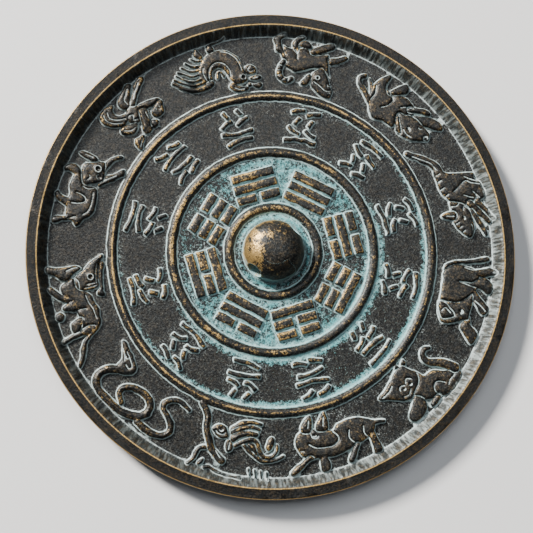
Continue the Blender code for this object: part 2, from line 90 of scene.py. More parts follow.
# A group of bars, listed from the outer bar to the inner one. A broken bar has a gap.
BAR_LENGTH = 11.0
BAR_WIDTH = 2.3
BAR_PITCH = 2.8
BAR_GAP = 1.0
BAR_RISE = 0.85
BAR_CORNER = 0.25
BAR_GROUP_REACH = 9.5
BarGroup = namedtuple("BarGroup", "azimuth radius turn bars")
BAR_GROUPS = (
    BarGroup(azimuth=-29.2, radius=18.2, turn=1.6, bars=("whole", "broken", "broken")),
    BarGroup(azimuth=-72.6, radius=17.9, turn=-0.3, bars=("broken", "broken", "whole")),
    BarGroup(azimuth=-116.5, radius=17.6, turn=-1.0, bars=("broken", "whole", "whole")),
    BarGroup(azimuth=-161.7, radius=17.4, turn=-1.0, bars=("whole", "broken", "whole")),
    BarGroup(azimuth=152.4, radius=16.9, turn=-3.4, bars=("broken", "broken", "broken")),
    BarGroup(azimuth=105.3, radius=16.9, turn=1.3, bars=("whole", "whole", "broken")),
    BarGroup(azimuth=59.1, radius=17.1, turn=5.7, bars=("whole", "whole", "whole")),
    BarGroup(azimuth=13.6, radius=17.9, turn=1.3, bars=("broken", "whole", "broken")),
)

# A cluster is a few rows of plain curved strokes.
CLUSTER_COUNT = 12
CLUSTER_RADIUS = 32.3
CLUSTER_FIRST_AZIMUTH = 16.8
CLUSTER_ROW_PITCH = 2.5
CLUSTER_REACH = 8.0
ROWS_PER_CLUSTER = 4
STROKE_WIDTH = 1.15
STROKE_RISE = 0.8
StrokeRow = namedtuple("StrokeRow", "count pitch length slant bend")
Limb = namedtuple("Limb", "x y heading length turn width tip")
STROKE_ROWS = (
    StrokeRow(count=1, pitch=0.0, length=7.6, slant=4.0, bend=26.0),
    StrokeRow(count=2, pitch=4.2, length=3.0, slant=-24.0, bend=-40.0),
    StrokeRow(count=2, pitch=3.4, length=1.7, slant=58.0, bend=0.0),
    StrokeRow(count=2, pitch=3.9, length=3.2, slant=18.0, bend=34.0),
    StrokeRow(count=1, pitch=0.0, length=6.2, slant=-6.0, bend=-30.0),
)

# The animals stand with their feet to the rim. Each is drawn in a frame of its own, where x
# runs counterclockwise along the band and y toward the centre. A form is a smooth closed
# outline through its points, and a strip a smooth line with a width at its start and its tip.
# Those that lie over the others are set off by a groove. Then come creases, ridges, pits and
# eyes, each eye a small ring with a pit.
ANIMAL_FIRST_AZIMUTH = -12.0
ANIMAL_RADIUS = 48.47
ANIMAL_SCALE = 0.9964
ANIMAL_RISE = 1.05
ANIMAL_REACH = 18.0
ANIMAL_BAND = (39.4, 56.5)
Form = namedtuple("Form", "over points")
Strip = namedtuple("Strip", "over width tip points")
Crease = namedtuple("Crease", "width depth points")
Ridge = namedtuple("Ridge", "width rise points")
Pit = namedtuple("Pit", "x y radius depth")
Eye = namedtuple("Eye", "x y radius")
OX = (
    Form(False, (
        (-3.0, 5.7), (-1.0, 5.9), (2.0, 6.0), (4.6, 6.1), (6.2, 5.0), (7.1, 2.6), (6.9, 0.6), (6.6, -1.6),
        (4.8, -3.0), (2.6, -3.0), (0.4, -2.6), (-1.4, -0.8), (-2.6, 1.2), (-3.0, 3.6),
    )),
    Form(False, (
        (-6.2, -1.3), (-8.2, -0.5), (-10.2, -1.9), (-12.0, -3.6), (-11.4, -4.7), (-9.2, -5.3),
        (-8.2, -4.6), (-7.2, -3.2), (-5.2, -2.6), (-5.0, -1.6),
    )),
    Form(False, (
        (0.6, -1.4), (-1.6, -2.6), (-3.0, -4.0), (-4.3, -5.5), (-3.6, -6.7), (-2.0, -6.8), (-1.2, -5.8),
        (0.2, -4.0), (1.6, -2.6),
    )),
    Form(False, (
        (6.7, 0.9), (6.4, -1.0), (7.3, -3.2), (7.9, -5.0), (7.3, -6.9), (6.1, -6.9), (5.6, -5.2),
        (5.1, -3.4), (5.2, -0.6),
    )),
    Form(True, (
        (-8.2, 4.2), (-6.6, 5.4), (-4.4, 5.9), (-2.8, 5.8), (-2.8, 3.0), (-2.3, 0.8), (-0.9, -1.0),
        (0.4, -2.1), (-2.2, -2.6), (-4.4, -2.4), (-6.2, -2.2), (-6.6, -0.9), (-7.6, 1.0), (-8.3, 2.8),
    )),
    Form(True, (
        (-7.2, 4.4), (-5.4, 5.6), (-3.2, 5.8), (-3.0, 4.5), (-4.2, 2.8), (-5.7, 1.3), (-6.7, 2.4),
    )),
    Form(True, (
        (4.8, 6.2), (6.4, 5.9), (7.9, 3.6), (8.6, 1.0), (9.4, -1.4), (10.6, -3.8), (10.2, -4.8),
        (9.4, -4.6), (8.5, -2.6), (7.7, 0.2), (7.2, 2.8), (6.2, 4.6),
    )),
    Form(True, (
        (2.8, 1.8), (3.2, -1.4), (5.0, -3.8), (4.8, -5.6), (3.4, -6.9), (1.6, -6.7), (1.1, -5.6),
        (2.0, -3.8), (2.3, -1.2),
    )),
    Crease(0.7, 0.35, ((6.6, 1.0), (6.4, -1.0), (7.2, -3.0), (7.6, -4.6))),
    Crease(0.5, 0.30, ((-5.4, 4.9), (-4.4, 4.0), (-5.4, 2.6))),
    Crease(0.5, 0.30, ((-7.0, -2.6), (-7.8, -4.0), (-8.8, -5.0))),
    Crease(0.5, 0.25, ((-1.2, -3.0), (-2.2, -4.6), (-3.2, -6.0))),
    Crease(0.4, 0.20, ((-5.2, -0.1), (-4.7, -0.6), (-4.1, -0.2))),
    Pit(-4.6, 0.2, 0.45, 0.3),
)
TIGER = (
    Form(False, (
        (0.8, 3.6), (1.8, 2.4), (2.2, 0.8), (4.0, 0.4), (5.6, -0.8), (6.8, -2.4), (8.4, -3.0),
        (10.0, -3.6), (9.4, -5.0), (8.4, -6.4), (6.0, -6.9), (3.4, -6.8), (1.6, -6.0), (0.4, -5.0),
        (-1.4, -4.0), (-2.6, -3.0), (-3.8, -1.4), (-4.2, -0.2), (-3.0, 0.8), (-1.0, 2.0),
    )),
    Form(False, ((-2.3, 6.2), (-1.8, 7.2), (-0.6, 7.9), (-0.3, 6.6), (-0.9, 5.8))),
    Form(False, ((-0.1, 6.3), (0.6, 7.2), (1.7, 7.5), (1.8, 6.4), (0.9, 5.6))),
    Form(True, (
        (-2.3, -5.9), (-2.0, -5.0), (-0.6, -4.6), (0.9, -4.6), (1.6, -5.2), (1.0, -5.9), (-0.6, -6.2),
    )),
    Form(True, (
        (-3.4, -0.7), (-5.4, -1.7), (-7.4, -2.7), (-8.3, -4.0), (-7.7, -5.2), (-6.0, -5.7), (-4.0, -5.4),
        (-2.6, -4.5), (-2.1, -3.2), (-2.4, -1.6),
    )),
    Strip(True, 2.6, 1.1, (
        (8.8, -3.6), (8.1, -1.6), (7.0, 0.2), (5.7, 1.6), (5.2, 3.2), (5.9, 4.6), (7.2, 4.9), (8.2, 4.2),
    )),
    Form(True, (
        (-9.7, 5.4), (-8.0, 5.6), (-6.0, 5.9), (-4.0, 6.4), (-2.4, 6.9), (-1.0, 6.7), (0.4, 6.4),
        (0.9, 5.2), (1.2, 4.0), (1.6, 2.8), (0.9, 1.4), (-0.4, 0.4), (-2.4, -0.1), (-4.0, -0.8),
        (-5.2, -0.3), (-6.3, 0.8), (-7.2, 2.0), (-8.2, 3.2), (-9.4, 4.3),
    )),
    Crease(0.6, 0.40, ((1.4, -5.6), (1.2, -3.8), (2.2, -2.6), (3.4, -2.6), (4.4, -4.2))),
    Crease(0.5, 0.30, ((-4.7, 2.6), (-4.0, 3.4), (-3.0, 2.8))),
    Crease(0.5, 0.30, ((-2.4, 2.9), (-1.5, 3.6), (-0.7, 2.7))),
    Crease(0.5, 0.30, ((-5.2, 1.0), (-3.8, 0.5), (-2.4, 1.1))),
    Crease(0.4, 0.25, ((-8.6, 4.6), (-6.6, 4.6), (-5.2, 5.0))),
    Crease(0.4, 0.25, ((4.6, -5.2), (6.0, -4.6), (7.6, -4.8))),
    Pit(-3.6, 2.3, 0.36, 0.3),
    Pit(-1.7, 2.0, 0.36, 0.3),
    Pit(-8.7, 4.9, 0.3, 0.2),
)
RABBIT = (
    Form(False, (
        (-9.7, 2.2), (-9.6, 0.6), (-8.9, -1.0), (-7.4, -2.1), (-5.6, -2.7), (-3.4, -3.2), (-1.0, -3.5),
        (2.0, -3.1), (4.0, -2.7), (6.0, -2.3), (8.0, -1.7), (9.6, -0.7), (10.5, 0.5), (10.4, 1.8),
        (8.5, 3.1), (6.0, 4.0), (3.5, 4.1), (1.5, 3.7), (0.2, 2.6), (-1.4, 3.4), (-3.6, 4.2), (-6.4, 5.0),
        (-8.6, 4.0),
    )),
    Strip(False, 1.5, 0.9, ((9.8, 1.4), (11.4, 1.2), (12.8, 0.9))),
    Form(False, (
        (-4.4, -2.6), (-5.3, -4.2), (-5.3, -6.0), (-4.1, -6.4), (-3.0, -5.9), (-2.8, -4.0), (-3.2, -2.6),
    )),
    Form(False, (
        (8.1, -1.2), (8.2, -3.6), (8.2, -5.8), (9.4, -6.1), (10.5, -5.5), (10.2, -3.2), (9.6, -0.6),
    )),
    Form(True, (
        (-7.2, -1.4), (-9.8, -2.4), (-12.4, -3.4), (-13.1, -4.3), (-12.2, -4.9), (-10.0, -4.2),
        (-8.0, -2.9), (-6.2, -2.4),
    )),
    Form(True, (
        (4.9, -2.0), (3.4, -3.0), (2.2, -4.4), (1.5, -5.7), (2.4, -6.3), (3.5, -5.4), (4.7, -3.8),
        (5.6, -2.6),
    )),
    Form(True, (
        (-4.0, 7.8), (-5.4, 7.4), (-7.0, 5.9), (-7.4, 4.4), (-5.6, 3.6), (-4.6, 4.6), (-4.0, 6.4),
    )),
    Form(True, (
        (-0.6, 7.8), (-2.0, 6.6), (-3.4, 5.2), (-3.8, 3.8), (-2.2, 3.0), (-0.7, 3.2), (-0.3, 5.0),
        (-0.3, 6.8),
    )),
    Crease(0.7, 0.45, (
        (-6.6, 1.3), (-5.8, 0.4), (-4.5, -0.4), (-2.0, -0.9), (0.0, -0.6), (0.9, 0.2), (0.8, 1.2),
        (0.1, 2.3),
    )),
    Crease(0.5, 0.30, ((-5.3, 3.2), (-5.2, 2.4), (-4.4, 2.0), (-3.6, 2.5))),
    Crease(0.5, 0.30, ((4.0, 1.6), (3.4, -0.2), (4.2, -1.6), (5.0, -2.2))),
    Crease(0.5, 0.30, ((7.6, 1.4), (7.2, -0.2), (8.0, -1.6))),
    Crease(0.4, 0.25, ((-5.6, 5.0), (-4.9, 6.6))),
    Crease(0.4, 0.25, ((-1.9, 4.4), (-1.1, 6.3))),
    Crease(0.4, 0.30, ((-9.0, 0.2), (-8.2, 0.0))),
    Pit(-4.5, 2.8, 0.4, 0.3),
)
DRAGON = (
    Strip(False, 1.0, 0.9, ((-5.5, -6.2), (-4.4, -5.9), (-3.0, -6.4), (-0.4, -6.9), (3.4, -7.0))),
    Strip(False, 1.1, 0.9, (
        (2.6, 0.9), (4.6, -0.4), (6.6, -1.5), (8.8, -1.9), (10.8, -1.1), (12.6, 0.2),
    )),
    Strip(False, 1.5, 0.9, ((-0.6, 4.0), (1.0, 5.6), (3.2, 6.5), (5.8, 6.5))),
    Strip(True, 1.4, 1.0, ((-0.4, 3.3), (1.4, 4.6), (3.6, 5.4), (5.6, 5.2))),
    Strip(True, 1.9, 1.4, ((0.0, 1.9), (1.4, 3.0), (3.2, 3.8), (5.2, 3.9))),
    Form(True, ((3.6, 1.5), (5.0, 1.7), (6.0, 0.6), (6.5, -0.9), (5.4, -0.5), (4.2, 0.5))),
    Strip(True, 1.3, 0.9, (
        (0.8, 0.4), (2.4, 1.6), (4.4, 2.6), (5.8, 2.0), (6.8, 0.2), (8.2, -0.9), (9.8, -0.6), (10.8, 0.8),
        (10.6, 2.4),
    )),
    Form(True, (
        (8.0, 1.4), (8.1, 2.8), (8.5, 3.9), (9.3, 4.2), (9.9, 3.4), (9.8, 2.0), (9.4, 0.9), (8.6, 0.7),
    )),
    Form(False, (
        (-5.8, 3.2), (-4.8, 4.3), (-3.6, 4.8), (-2.2, 4.3), (-1.6, 3.0), (-1.2, 1.8), (-2.6, 1.2),
        (-3.8, 1.5), (-5.0, 2.4),
    )),
    Form(False, ((-1.5, 1.3), (-1.5, -0.9), (-0.7, -1.6), (0.3, -0.9), (0.2, 0.4), (-0.6, 1.4))),
    Strip(False, 1.2, 1.0, ((-5.8, -1.4), (-7.4, -1.9), (-8.1, -3.3), (-8.6, -4.8), (-9.6, -6.0))),
    Form(False, ((-7.6, -5.6), (-6.8, -4.4), (-6.0, -4.2), (-6.1, -5.4), (-7.0, -6.0))),
    Strip(True, 1.6, 2.0, (
        (-9.0, 8.6), (-7.3, 6.2), (-7.0, 4.0), (-6.6, 2.2), (-5.6, 0.4), (-4.8, -1.4), (-3.2, -2.8),
        (-1.8, -3.8),
    )),
    Crease(0.5, 0.35, ((-4.6, 3.0), (-3.9, 2.4), (-2.8, 2.3), (-2.2, 3.0))),
    Crease(0.4, 0.25, ((-3.6, -1.8), (-2.2, -3.2))),
    Crease(0.4, 0.30, ((-0.8, 0.8), (-0.7, -0.8))),
    Ridge(0.5, 0.18, ((-7.2, 5.4), (-6.9, 3.2), (-5.9, 0.8), (-4.8, -1.0))),
    Ridge(0.5, 0.18, ((0.6, 2.4), (2.2, 3.5), (4.4, 4.0))),
    Pit(-3.3, 3.5, 0.5, 0.35),
)
SNAKE = (
    Form(False, (
        (-12.3, 7.5), (-11.4, 7.9), (-9.8, 7.4), (-7.9, 6.6), (-6.2, 5.7), (-5.0, 4.7), (-4.9, 3.4),
        (-6.0, 2.0), (-7.8, 1.2), (-9.2, 2.2), (-9.3, 4.0), (-10.2, 5.0), (-11.3, 6.4),
    )),
    Strip(False, 2.0, 2.1, (
        (-7.2, 3.4), (-8.6, 1.6), (-10.2, 0.0), (-10.9, -2.0), (-10.2, -3.9), (-8.0, -5.0), (-5.0, -5.2),
        (-2.0, -5.1), (0.8, -4.5), (3.0, -3.0), (3.9, -1.2),
    )),
    Strip(False, 2.1, 1.3, (
        (3.9, -1.2), (3.2, 0.6), (1.4, 1.5), (-1.0, 1.5), (-3.2, 0.7), (-4.5, -0.8), (-4.1, -2.4),
        (-2.4, -3.5),
    )),
    Strip(False, 1.8, 1.2, (
        (3.6, -4.3), (6.2, -4.4), (8.6, -3.8), (10.4, -2.4), (10.9, -0.8), (9.8, 0.7), (8.0, 1.5),
        (6.2, 2.1), (5.4, 3.4), (6.2, 5.0), (8.0, 6.1), (10.9, 6.1),
    )),
    Crease(0.5, 0.35, ((-4.8, -4.2), (-3.0, -4.3), (-1.0, -4.1), (0.8, -3.3))),
    Crease(0.5, 0.30, ((-9.6, 6.3), (-7.8, 5.5), (-6.5, 4.6), (-6.5, 3.5), (-7.8, 3.9))),
    Crease(0.4, 0.25, ((-11.0, 6.2), (-9.6, 5.4), (-8.6, 4.4))),
    Ridge(0.6, 0.16, (
        (-8.4, 2.2), (-10.2, 0.4), (-10.9, -2.0), (-9.8, -4.2), (-7.0, -5.1), (-2.0, -5.1), (1.6, -4.1),
    )),
    Ridge(0.6, 0.16, ((3.9, -1.6), (2.8, 0.9), (0.0, 1.6), (-2.8, 0.9), (-4.4, -0.8))),
    Ridge(0.5, 0.14, ((4.4, -4.3), (8.4, -3.9), (10.8, -1.8), (9.9, 0.6), (6.8, 1.9))),
    Pit(-8.6, 5.4, 0.4, 0.25),
)
HORSE = (
    Form(False, (
        (-3.9, 2.4), (-2.9, 3.0), (-1.1, 3.3), (0.5, 3.8), (2.4, 3.6), (4.3, 3.2), (5.3, 2.5), (6.0, 1.0),
        (6.2, -0.6), (5.6, -1.8), (4.0, -1.7), (2.4, -1.5), (0.6, -1.5), (-1.0, -1.5), (-3.0, -1.9),
        (-4.2, -3.2), (-5.4, -3.8), (-7.0, -3.5), (-7.9, -1.8), (-8.3, -0.2), (-7.0, 0.8), (-5.0, 1.2),
    )),
    Form(False, (
        (-4.4, -2.6), (-5.6, -4.0), (-7.7, -5.8), (-7.2, -6.7), (-5.9, -6.3), (-4.0, -4.8), (-2.8, -3.2),
        (-2.8, -1.4), (-3.6, -1.2),
    )),
    Form(False, (
        (-2.9, -1.4), (-2.7, -3.2), (-2.2, -4.4), (-1.2, -4.6), (-0.6, -3.4), (-0.2, -2.0), (-0.8, -1.0),
    )),
    Form(False, (
        (0.1, -4.5), (-0.9, -5.0), (-1.1, -5.9), (-0.6, -6.7), (0.3, -6.9), (1.1, -6.3), (1.2, -5.3),
    )),
    Form(False, (
        (4.6, -1.8), (4.7, -3.6), (5.2, -5.4), (5.6, -6.8), (6.5, -6.9), (6.7, -6.0), (6.3, -4.2),
        (5.9, -2.0), (5.2, -0.6),
    )),
    Form(True, (
        (1.5, -0.8), (1.8, -2.8), (2.4, -3.8), (3.6, -4.0), (4.9, -3.7), (4.8, -2.4), (3.8, -1.4),
        (2.8, -0.6),
    )),
    Form(False, (
        (5.0, 2.8), (6.1, 1.5), (7.1, -0.2), (8.3, -1.3), (10.5, -2.3), (12.1, -3.4), (13.3, -4.5),
        (12.5, -4.9), (10.5, -3.9), (8.6, -3.0), (7.1, -2.1), (6.1, -0.6), (5.0, 1.0),
    )),
    Form(True, (
        (-9.8, 2.5), (-10.8, 1.7), (-11.3, 0.0), (-11.5, -1.6), (-11.9, -3.4), (-12.7, -5.1),
        (-12.1, -5.9), (-11.0, -5.7), (-10.1, -4.3), (-8.7, -3.2), (-8.0, -2.0), (-8.2, -0.8),
        (-9.0, 0.4),
    )),
    Strip(False, 1.2, 1.0, ((-9.6, 7.5), (-7.6, 6.7), (-5.6, 6.2), (-3.6, 5.9))),
    Form(False, (
        (-3.8, 5.9), (-2.6, 6.3), (-1.9, 6.0), (-2.0, 5.2), (-2.6, 4.4), (-3.4, 4.6), (-3.9, 5.2),
    )),
    Form(True, (
        (-11.9, 8.2), (-11.0, 8.5), (-10.2, 7.2), (-8.6, 6.3), (-6.4, 5.7), (-4.4, 5.3), (-4.1, 3.8),
        (-4.3, 2.2), (-4.8, 0.9), (-5.8, 0.1), (-7.9, 0.2), (-8.9, 1.5), (-9.4, 2.7), (-10.4, 4.2),
        (-11.1, 5.8),
    )),
    Crease(0.4, 0.30, ((-4.9, 4.8), (-4.9, 3.4), (-5.0, 2.0))),
    Crease(0.4, 0.30, ((-5.6, 4.4), (-5.7, 2.6))),
    Crease(0.4, 0.25, ((-9.8, 6.4), (-8.0, 5.6), (-5.4, 5.0))),
    Crease(0.5, 0.35, ((-3.4, 1.6), (-1.2, 1.9), (0.8, 2.5), (2.8, 2.5))),
    Crease(0.6, 0.40, ((-0.1, 0.9), (-0.3, -0.4), (-0.2, -1.6))),
    Crease(0.6, 0.40, ((4.3, 1.6), (4.0, 0.2), (4.4, -1.6))),
    Crease(0.5, 0.30, ((-8.0, 0.4), (-6.8, 1.0), (-5.4, 0.8))),
    Crease(0.5, 0.30, ((-10.3, 1.6), (-10.5, 0.2), (-10.2, -1.2))),
    Eye(-7.2, 4.1, 0.75),
)
GOAT = (
    Form(False, (
        (-5.8, 2.4), (-5.0, 3.1), (-3.2, 3.5), (-1.0, 3.7), (0.6, 3.4), (1.8, 2.6), (3.1, 1.4),
        (4.6, 0.3), (4.3, -0.5), (3.6, -1.2), (3.5, -2.4), (2.4, -3.2), (0.4, -3.4), (-1.6, -3.5),
        (-3.0, -3.3), (-4.4, -3.7), (-6.3, -3.8), (-7.9, -3.2), (-8.8, -2.0), (-7.4, -0.8), (-6.0, 0.6),
    )),
    Form(False, (
        (-9.4, -1.8), (-10.4, -3.2), (-10.5, -4.9), (-9.3, -6.0), (-8.2, -5.7), (-8.4, -4.4),
        (-7.7, -3.0), (-8.0, -1.8),
    )),
    Form(False, (
        (-1.7, -2.8), (-2.3, -4.8), (-3.2, -6.2), (-2.3, -6.8), (-1.0, -6.0), (-0.2, -4.6), (0.4, -3.0),
    )),
    Form(False, (
        (2.0, -1.6), (2.7, -3.4), (3.0, -4.9), (3.7, -6.0), (4.9, -5.8), (4.9, -4.6), (4.1, -3.4),
        (3.5, -1.8),
    )),
    Form(False, (
        (-12.5, 1.7), (-13.4, 0.9), (-14.0, -0.9), (-14.2, -2.4), (-13.7, -3.5), (-12.9, -2.8),
        (-12.3, -1.4), (-11.9, 0.4),
    )),
    Strip(False, 1.7, 1.0, ((-10.8, 3.4), (-12.4, 4.2), (-13.8, 5.4), (-14.6, 7.0))),
    Form(False, (
        (-11.9, 8.3), (-10.2, 6.0), (-9.1, 4.0), (-7.6, 3.0), (-6.2, 3.2), (-7.6, 5.4), (-9.2, 7.4),
        (-10.2, 8.6),
    )),
    Form(True, (
        (-12.5, 3.3), (-11.0, 3.8), (-9.4, 4.1), (-7.9, 3.9), (-7.0, 2.8), (-6.2, 1.2), (-5.9, -0.2),
        (-6.8, -1.1), (-8.6, -1.7), (-10.2, -1.8), (-11.3, -1.2), (-11.8, 0.4), (-12.4, 2.0),
    )),
    Crease(0.6, 0.40, ((-5.6, 2.3), (-5.0, 1.0), (-5.4, -0.6))),
    Crease(0.7, 0.40, ((-3.6, -1.8), (-3.2, 0.1), (-2.3, 0.9), (-1.5, 0.4), (-1.0, -0.9), (-0.8, -2.4))),
    Crease(0.4, 0.25, ((-4.4, 2.3), (-2.0, 2.5), (0.2, 2.2), (1.6, 1.0))),
    Crease(0.4, 0.30, ((-8.6, 0.3), (-7.9, 0.7), (-7.3, 0.1))),
    Crease(0.4, 0.25, ((-9.8, 6.8), (-8.6, 5.0), (-7.8, 4.0))),
    Crease(0.4, 0.25, ((-13.0, 0.2), (-13.4, -1.8))),
    Crease(0.5, 0.30, ((2.4, -0.4), (2.8, -1.4), (3.4, -2.4))),
    Eye(-10.4, 2.2, 0.8),
    Pit(-8.5, 2.8, 0.6, 0.4),
)
MONKEY = (
    Form(False, (
        (0.0, 5.5), (0.8, 6.4), (2.1, 7.1), (3.3, 7.9), (3.8, 6.9), (3.5, 5.5), (2.5, 4.6), (1.6, 4.8),
        (0.6, 5.0),
    )),
    Form(False, (
        (-0.4, -0.2), (1.4, 0.3), (2.6, -0.1), (4.0, -1.3), (5.0, -2.9), (5.2, -4.4), (4.3, -5.8),
        (2.4, -6.3), (0.6, -5.9), (-0.2, -5.0), (0.8, -4.4), (1.2, -3.4), (0.8, -2.4), (-0.4, -1.8),
        (-1.6, -1.0),
    )),
    Form(False, (
        (-2.4, 2.2), (-0.4, 2.2), (0.4, 1.0), (0.2, -0.4), (-1.0, -1.8), (-2.6, -2.2), (-4.0, -1.2),
        (-4.2, 0.2),
    )),
    Form(True, (
        (-3.4, -1.2), (-5.4, -2.2), (-8.2, -3.5), (-10.0, -4.2), (-10.5, -5.1), (-9.5, -5.7),
        (-7.3, -5.3), (-6.0, -4.2), (-4.0, -3.2), (-2.6, -2.4),
    )),
    Form(True, (
        (-2.4, -1.8), (-3.9, -3.1), (-6.1, -4.9), (-7.1, -5.9), (-6.2, -6.8), (-4.5, -6.3), (-2.9, -5.9),
        (-1.4, -5.2), (-0.7, -4.0), (-1.0, -2.6),
    )),
    Form(True, (
        (0.4, 3.5), (2.0, 3.5), (3.4, 2.0), (3.7, 0.8), (2.8, 0.1), (1.4, 0.6), (0.0, 1.3), (-0.9, 2.4),
    )),
    Form(False, (
        (-9.2, 2.0), (-9.0, 1.2), (-7.6, 0.3), (-5.8, -0.5), (-4.2, -1.0), (-3.6, 0.0), (-4.8, 1.1),
        (-6.4, 1.8), (-8.0, 2.1),
    )),
    Form(True, (
        (-6.6, 5.2), (-7.8, 4.9), (-8.7, 3.6), (-9.4, 2.3), (-8.4, 1.9), (-6.8, 2.2), (-5.4, 2.6),
        (-5.0, 3.6), (-5.4, 4.7),
    )),
    Form(True, (
        (-2.4, 5.9), (-1.2, 6.3), (-0.3, 5.6), (-0.4, 4.4), (-1.1, 3.4), (-2.0, 2.2), (-2.8, 1.0),
        (-3.5, 0.1), (-4.8, 0.7), (-5.1, 1.7), (-4.3, 3.0), (-3.5, 4.6),
    )),
    Form(True, ((-5.1, 5.7), (-3.9, 6.3), (-2.8, 5.9), (-2.9, 4.8), (-3.9, 4.2), (-4.8, 4.8))),
    Ridge(0.9, 0.22, ((-1.4, 4.6), (-2.4, 2.9), (-3.3, 1.0))),
    Crease(0.4, 0.30, ((-3.4, 4.4), (-3.9, 2.8), (-4.3, 1.6))),
    Crease(0.4, 0.25, ((0.8, 5.8), (2.0, 6.3), (3.0, 6.8))),
    Crease(0.4, 0.25, ((0.2, 2.6), (1.6, 2.4), (2.8, 1.2))),
    Crease(0.4, 0.30, ((-1.8, 1.6), (-0.8, 1.0), (-1.6, 0.0), (-0.6, -0.6))),
    Crease(0.5, 0.35, ((0.4, -0.8), (2.0, -1.9), (2.9, -3.7), (2.2, -5.2))),
    Crease(0.4, 0.30, ((1.6, -0.5), (3.2, -1.9), (4.0, -3.8), (3.4, -5.2))),
    Crease(0.5, 0.35, ((-1.0, -1.9), (0.0, -2.8), (0.6, -3.8))),
    Crease(0.4, 0.30, ((-2.6, -3.0), (-3.0, -4.2), (-4.2, -4.9), (-5.6, -5.6))),
    Crease(0.4, 0.25, ((-4.6, -2.8), (-6.4, -3.8), (-8.6, -4.8))),
    Pit(-7.2, 3.5, 0.6, 0.3),
    Pit(-0.5, 3.2, 0.5, 0.35),
)
ROOSTER = (
    Form(False, ((-10.4, 7.6), (-9.4, 8.1), (-8.4, 7.4), (-8.1, 6.4), (-9.2, 6.6), (-10.3, 6.6))),
    Form(False, ((-10.9, 5.4), (-9.8, 5.9), (-8.4, 5.6), (-7.6, 4.9), (-8.6, 4.5), (-10.2, 4.6))),
    Form(False, ((-7.9, 6.9), (-7.1, 7.1), (-6.7, 6.3), (-7.3, 5.8), (-7.9, 6.1))),
    Form(False, (
        (-6.9, 7.6), (-5.4, 7.7), (-3.8, 7.6), (-2.6, 6.7), (-2.2, 5.5), (-2.9, 4.7), (-3.8, 4.8),
        (-4.4, 5.8), (-5.8, 6.4), (-6.9, 6.7),
    )),
    Form(False, (
        (-7.3, 5.2), (-7.4, 3.6), (-7.2, 1.9), (-7.1, 0.4), (-6.6, -1.2), (-5.5, -2.8), (-4.2, -3.8),
        (-2.4, -4.3), (-0.4, -4.2), (1.2, -3.6), (2.6, -2.4), (3.8, -1.0), (4.2, 0.8), (3.8, 2.6),
        (2.6, 3.6), (1.4, 3.6), (1.0, 2.4), (0.9, 1.2), (0.1, 0.3), (-1.0, 0.1), (-2.0, 0.6), (-2.6, 1.8),
        (-2.8, 3.2), (-3.2, 4.4), (-4.2, 5.4), (-5.8, 5.8),
    )),
    Form(True, (
        (-10.1, 3.9), (-8.9, 4.2), (-7.6, 3.5), (-7.3, 2.2), (-8.1, 1.5), (-9.4, 1.6), (-10.2, 2.6),
    )),
    Strip(False, 0.8, 0.8, ((-1.9, 2.6), (-1.4, 1.4), (-0.6, 1.4), (-0.1, 2.6))),
    Strip(False, 0.9, 0.6, ((2.4, -2.9), (3.7, -3.0), (4.9, -4.1))),
    Strip(False, 0.9, 0.6, ((2.8, -1.7), (4.3, -1.7), (5.6, -2.4), (6.5, -3.3))),
    Strip(False, 0.9, 0.6, ((3.5, -0.7), (5.3, -0.7), (6.8, -1.6), (7.8, -2.4))),
    Strip(False, 0.9, 0.6, ((3.5, 0.3), (5.6, 0.5), (7.4, -0.5), (9.0, -1.6))),
    Strip(False, 0.9, 0.6, ((3.5, 1.6), (5.9, 1.8), (8.1, 0.7), (9.7, -0.8))),
    Strip(False, 0.9, 0.7, ((3.7, 2.8), (6.2, 2.8), (8.6, 1.6), (10.3, 0.1))),
    Strip(True, 1.7, 0.9, ((1.8, 3.5), (3.8, 4.2), (6.4, 4.0), (8.8, 2.8), (10.9, 0.8))),
    Form(True, ((-1.5, -4.6), (-0.6, -4.0), (0.4, -4.4), (0.5, -5.3), (-0.4, -6.1), (-1.3, -5.7))),
    Form(True, (
        (1.7, -3.4), (2.7, -3.0), (3.7, -3.9), (4.0, -4.9), (3.1, -6.3), (2.4, -5.4), (1.8, -4.4),
    )),
    Strip(False, 0.6, 0.5, ((-4.8, -6.9), (-3.4, -6.4), (-1.2, -6.3), (0.2, -6.0))),
    Crease(0.5, 0.35, (
        (-3.5, 3.0), (-3.6, 1.4), (-2.9, -0.3), (-1.4, -1.2), (0.2, -1.0), (1.5, 0.3), (1.9, 2.0),
        (1.8, 3.0),
    )),
    Crease(0.4, 0.30, ((-6.5, 2.4), (-6.5, 0.6), (-5.9, -1.2), (-4.6, -2.9), (-2.8, -3.7))),
    Crease(0.4, 0.25, ((-9.6, 3.2), (-8.6, 3.4), (-8.1, 2.7), (-8.7, 2.1))),
    Crease(0.4, 0.30, ((-5.8, 7.2), (-4.4, 7.0), (-3.4, 6.2))),
    Crease(0.4, 0.25, ((-9.8, 5.2), (-8.6, 5.1))),
    Crease(0.4, 0.30, ((2.6, 2.6), (3.0, 0.8), (2.6, -0.8))),
    Eye(-6.4, 4.3, 0.7),
)
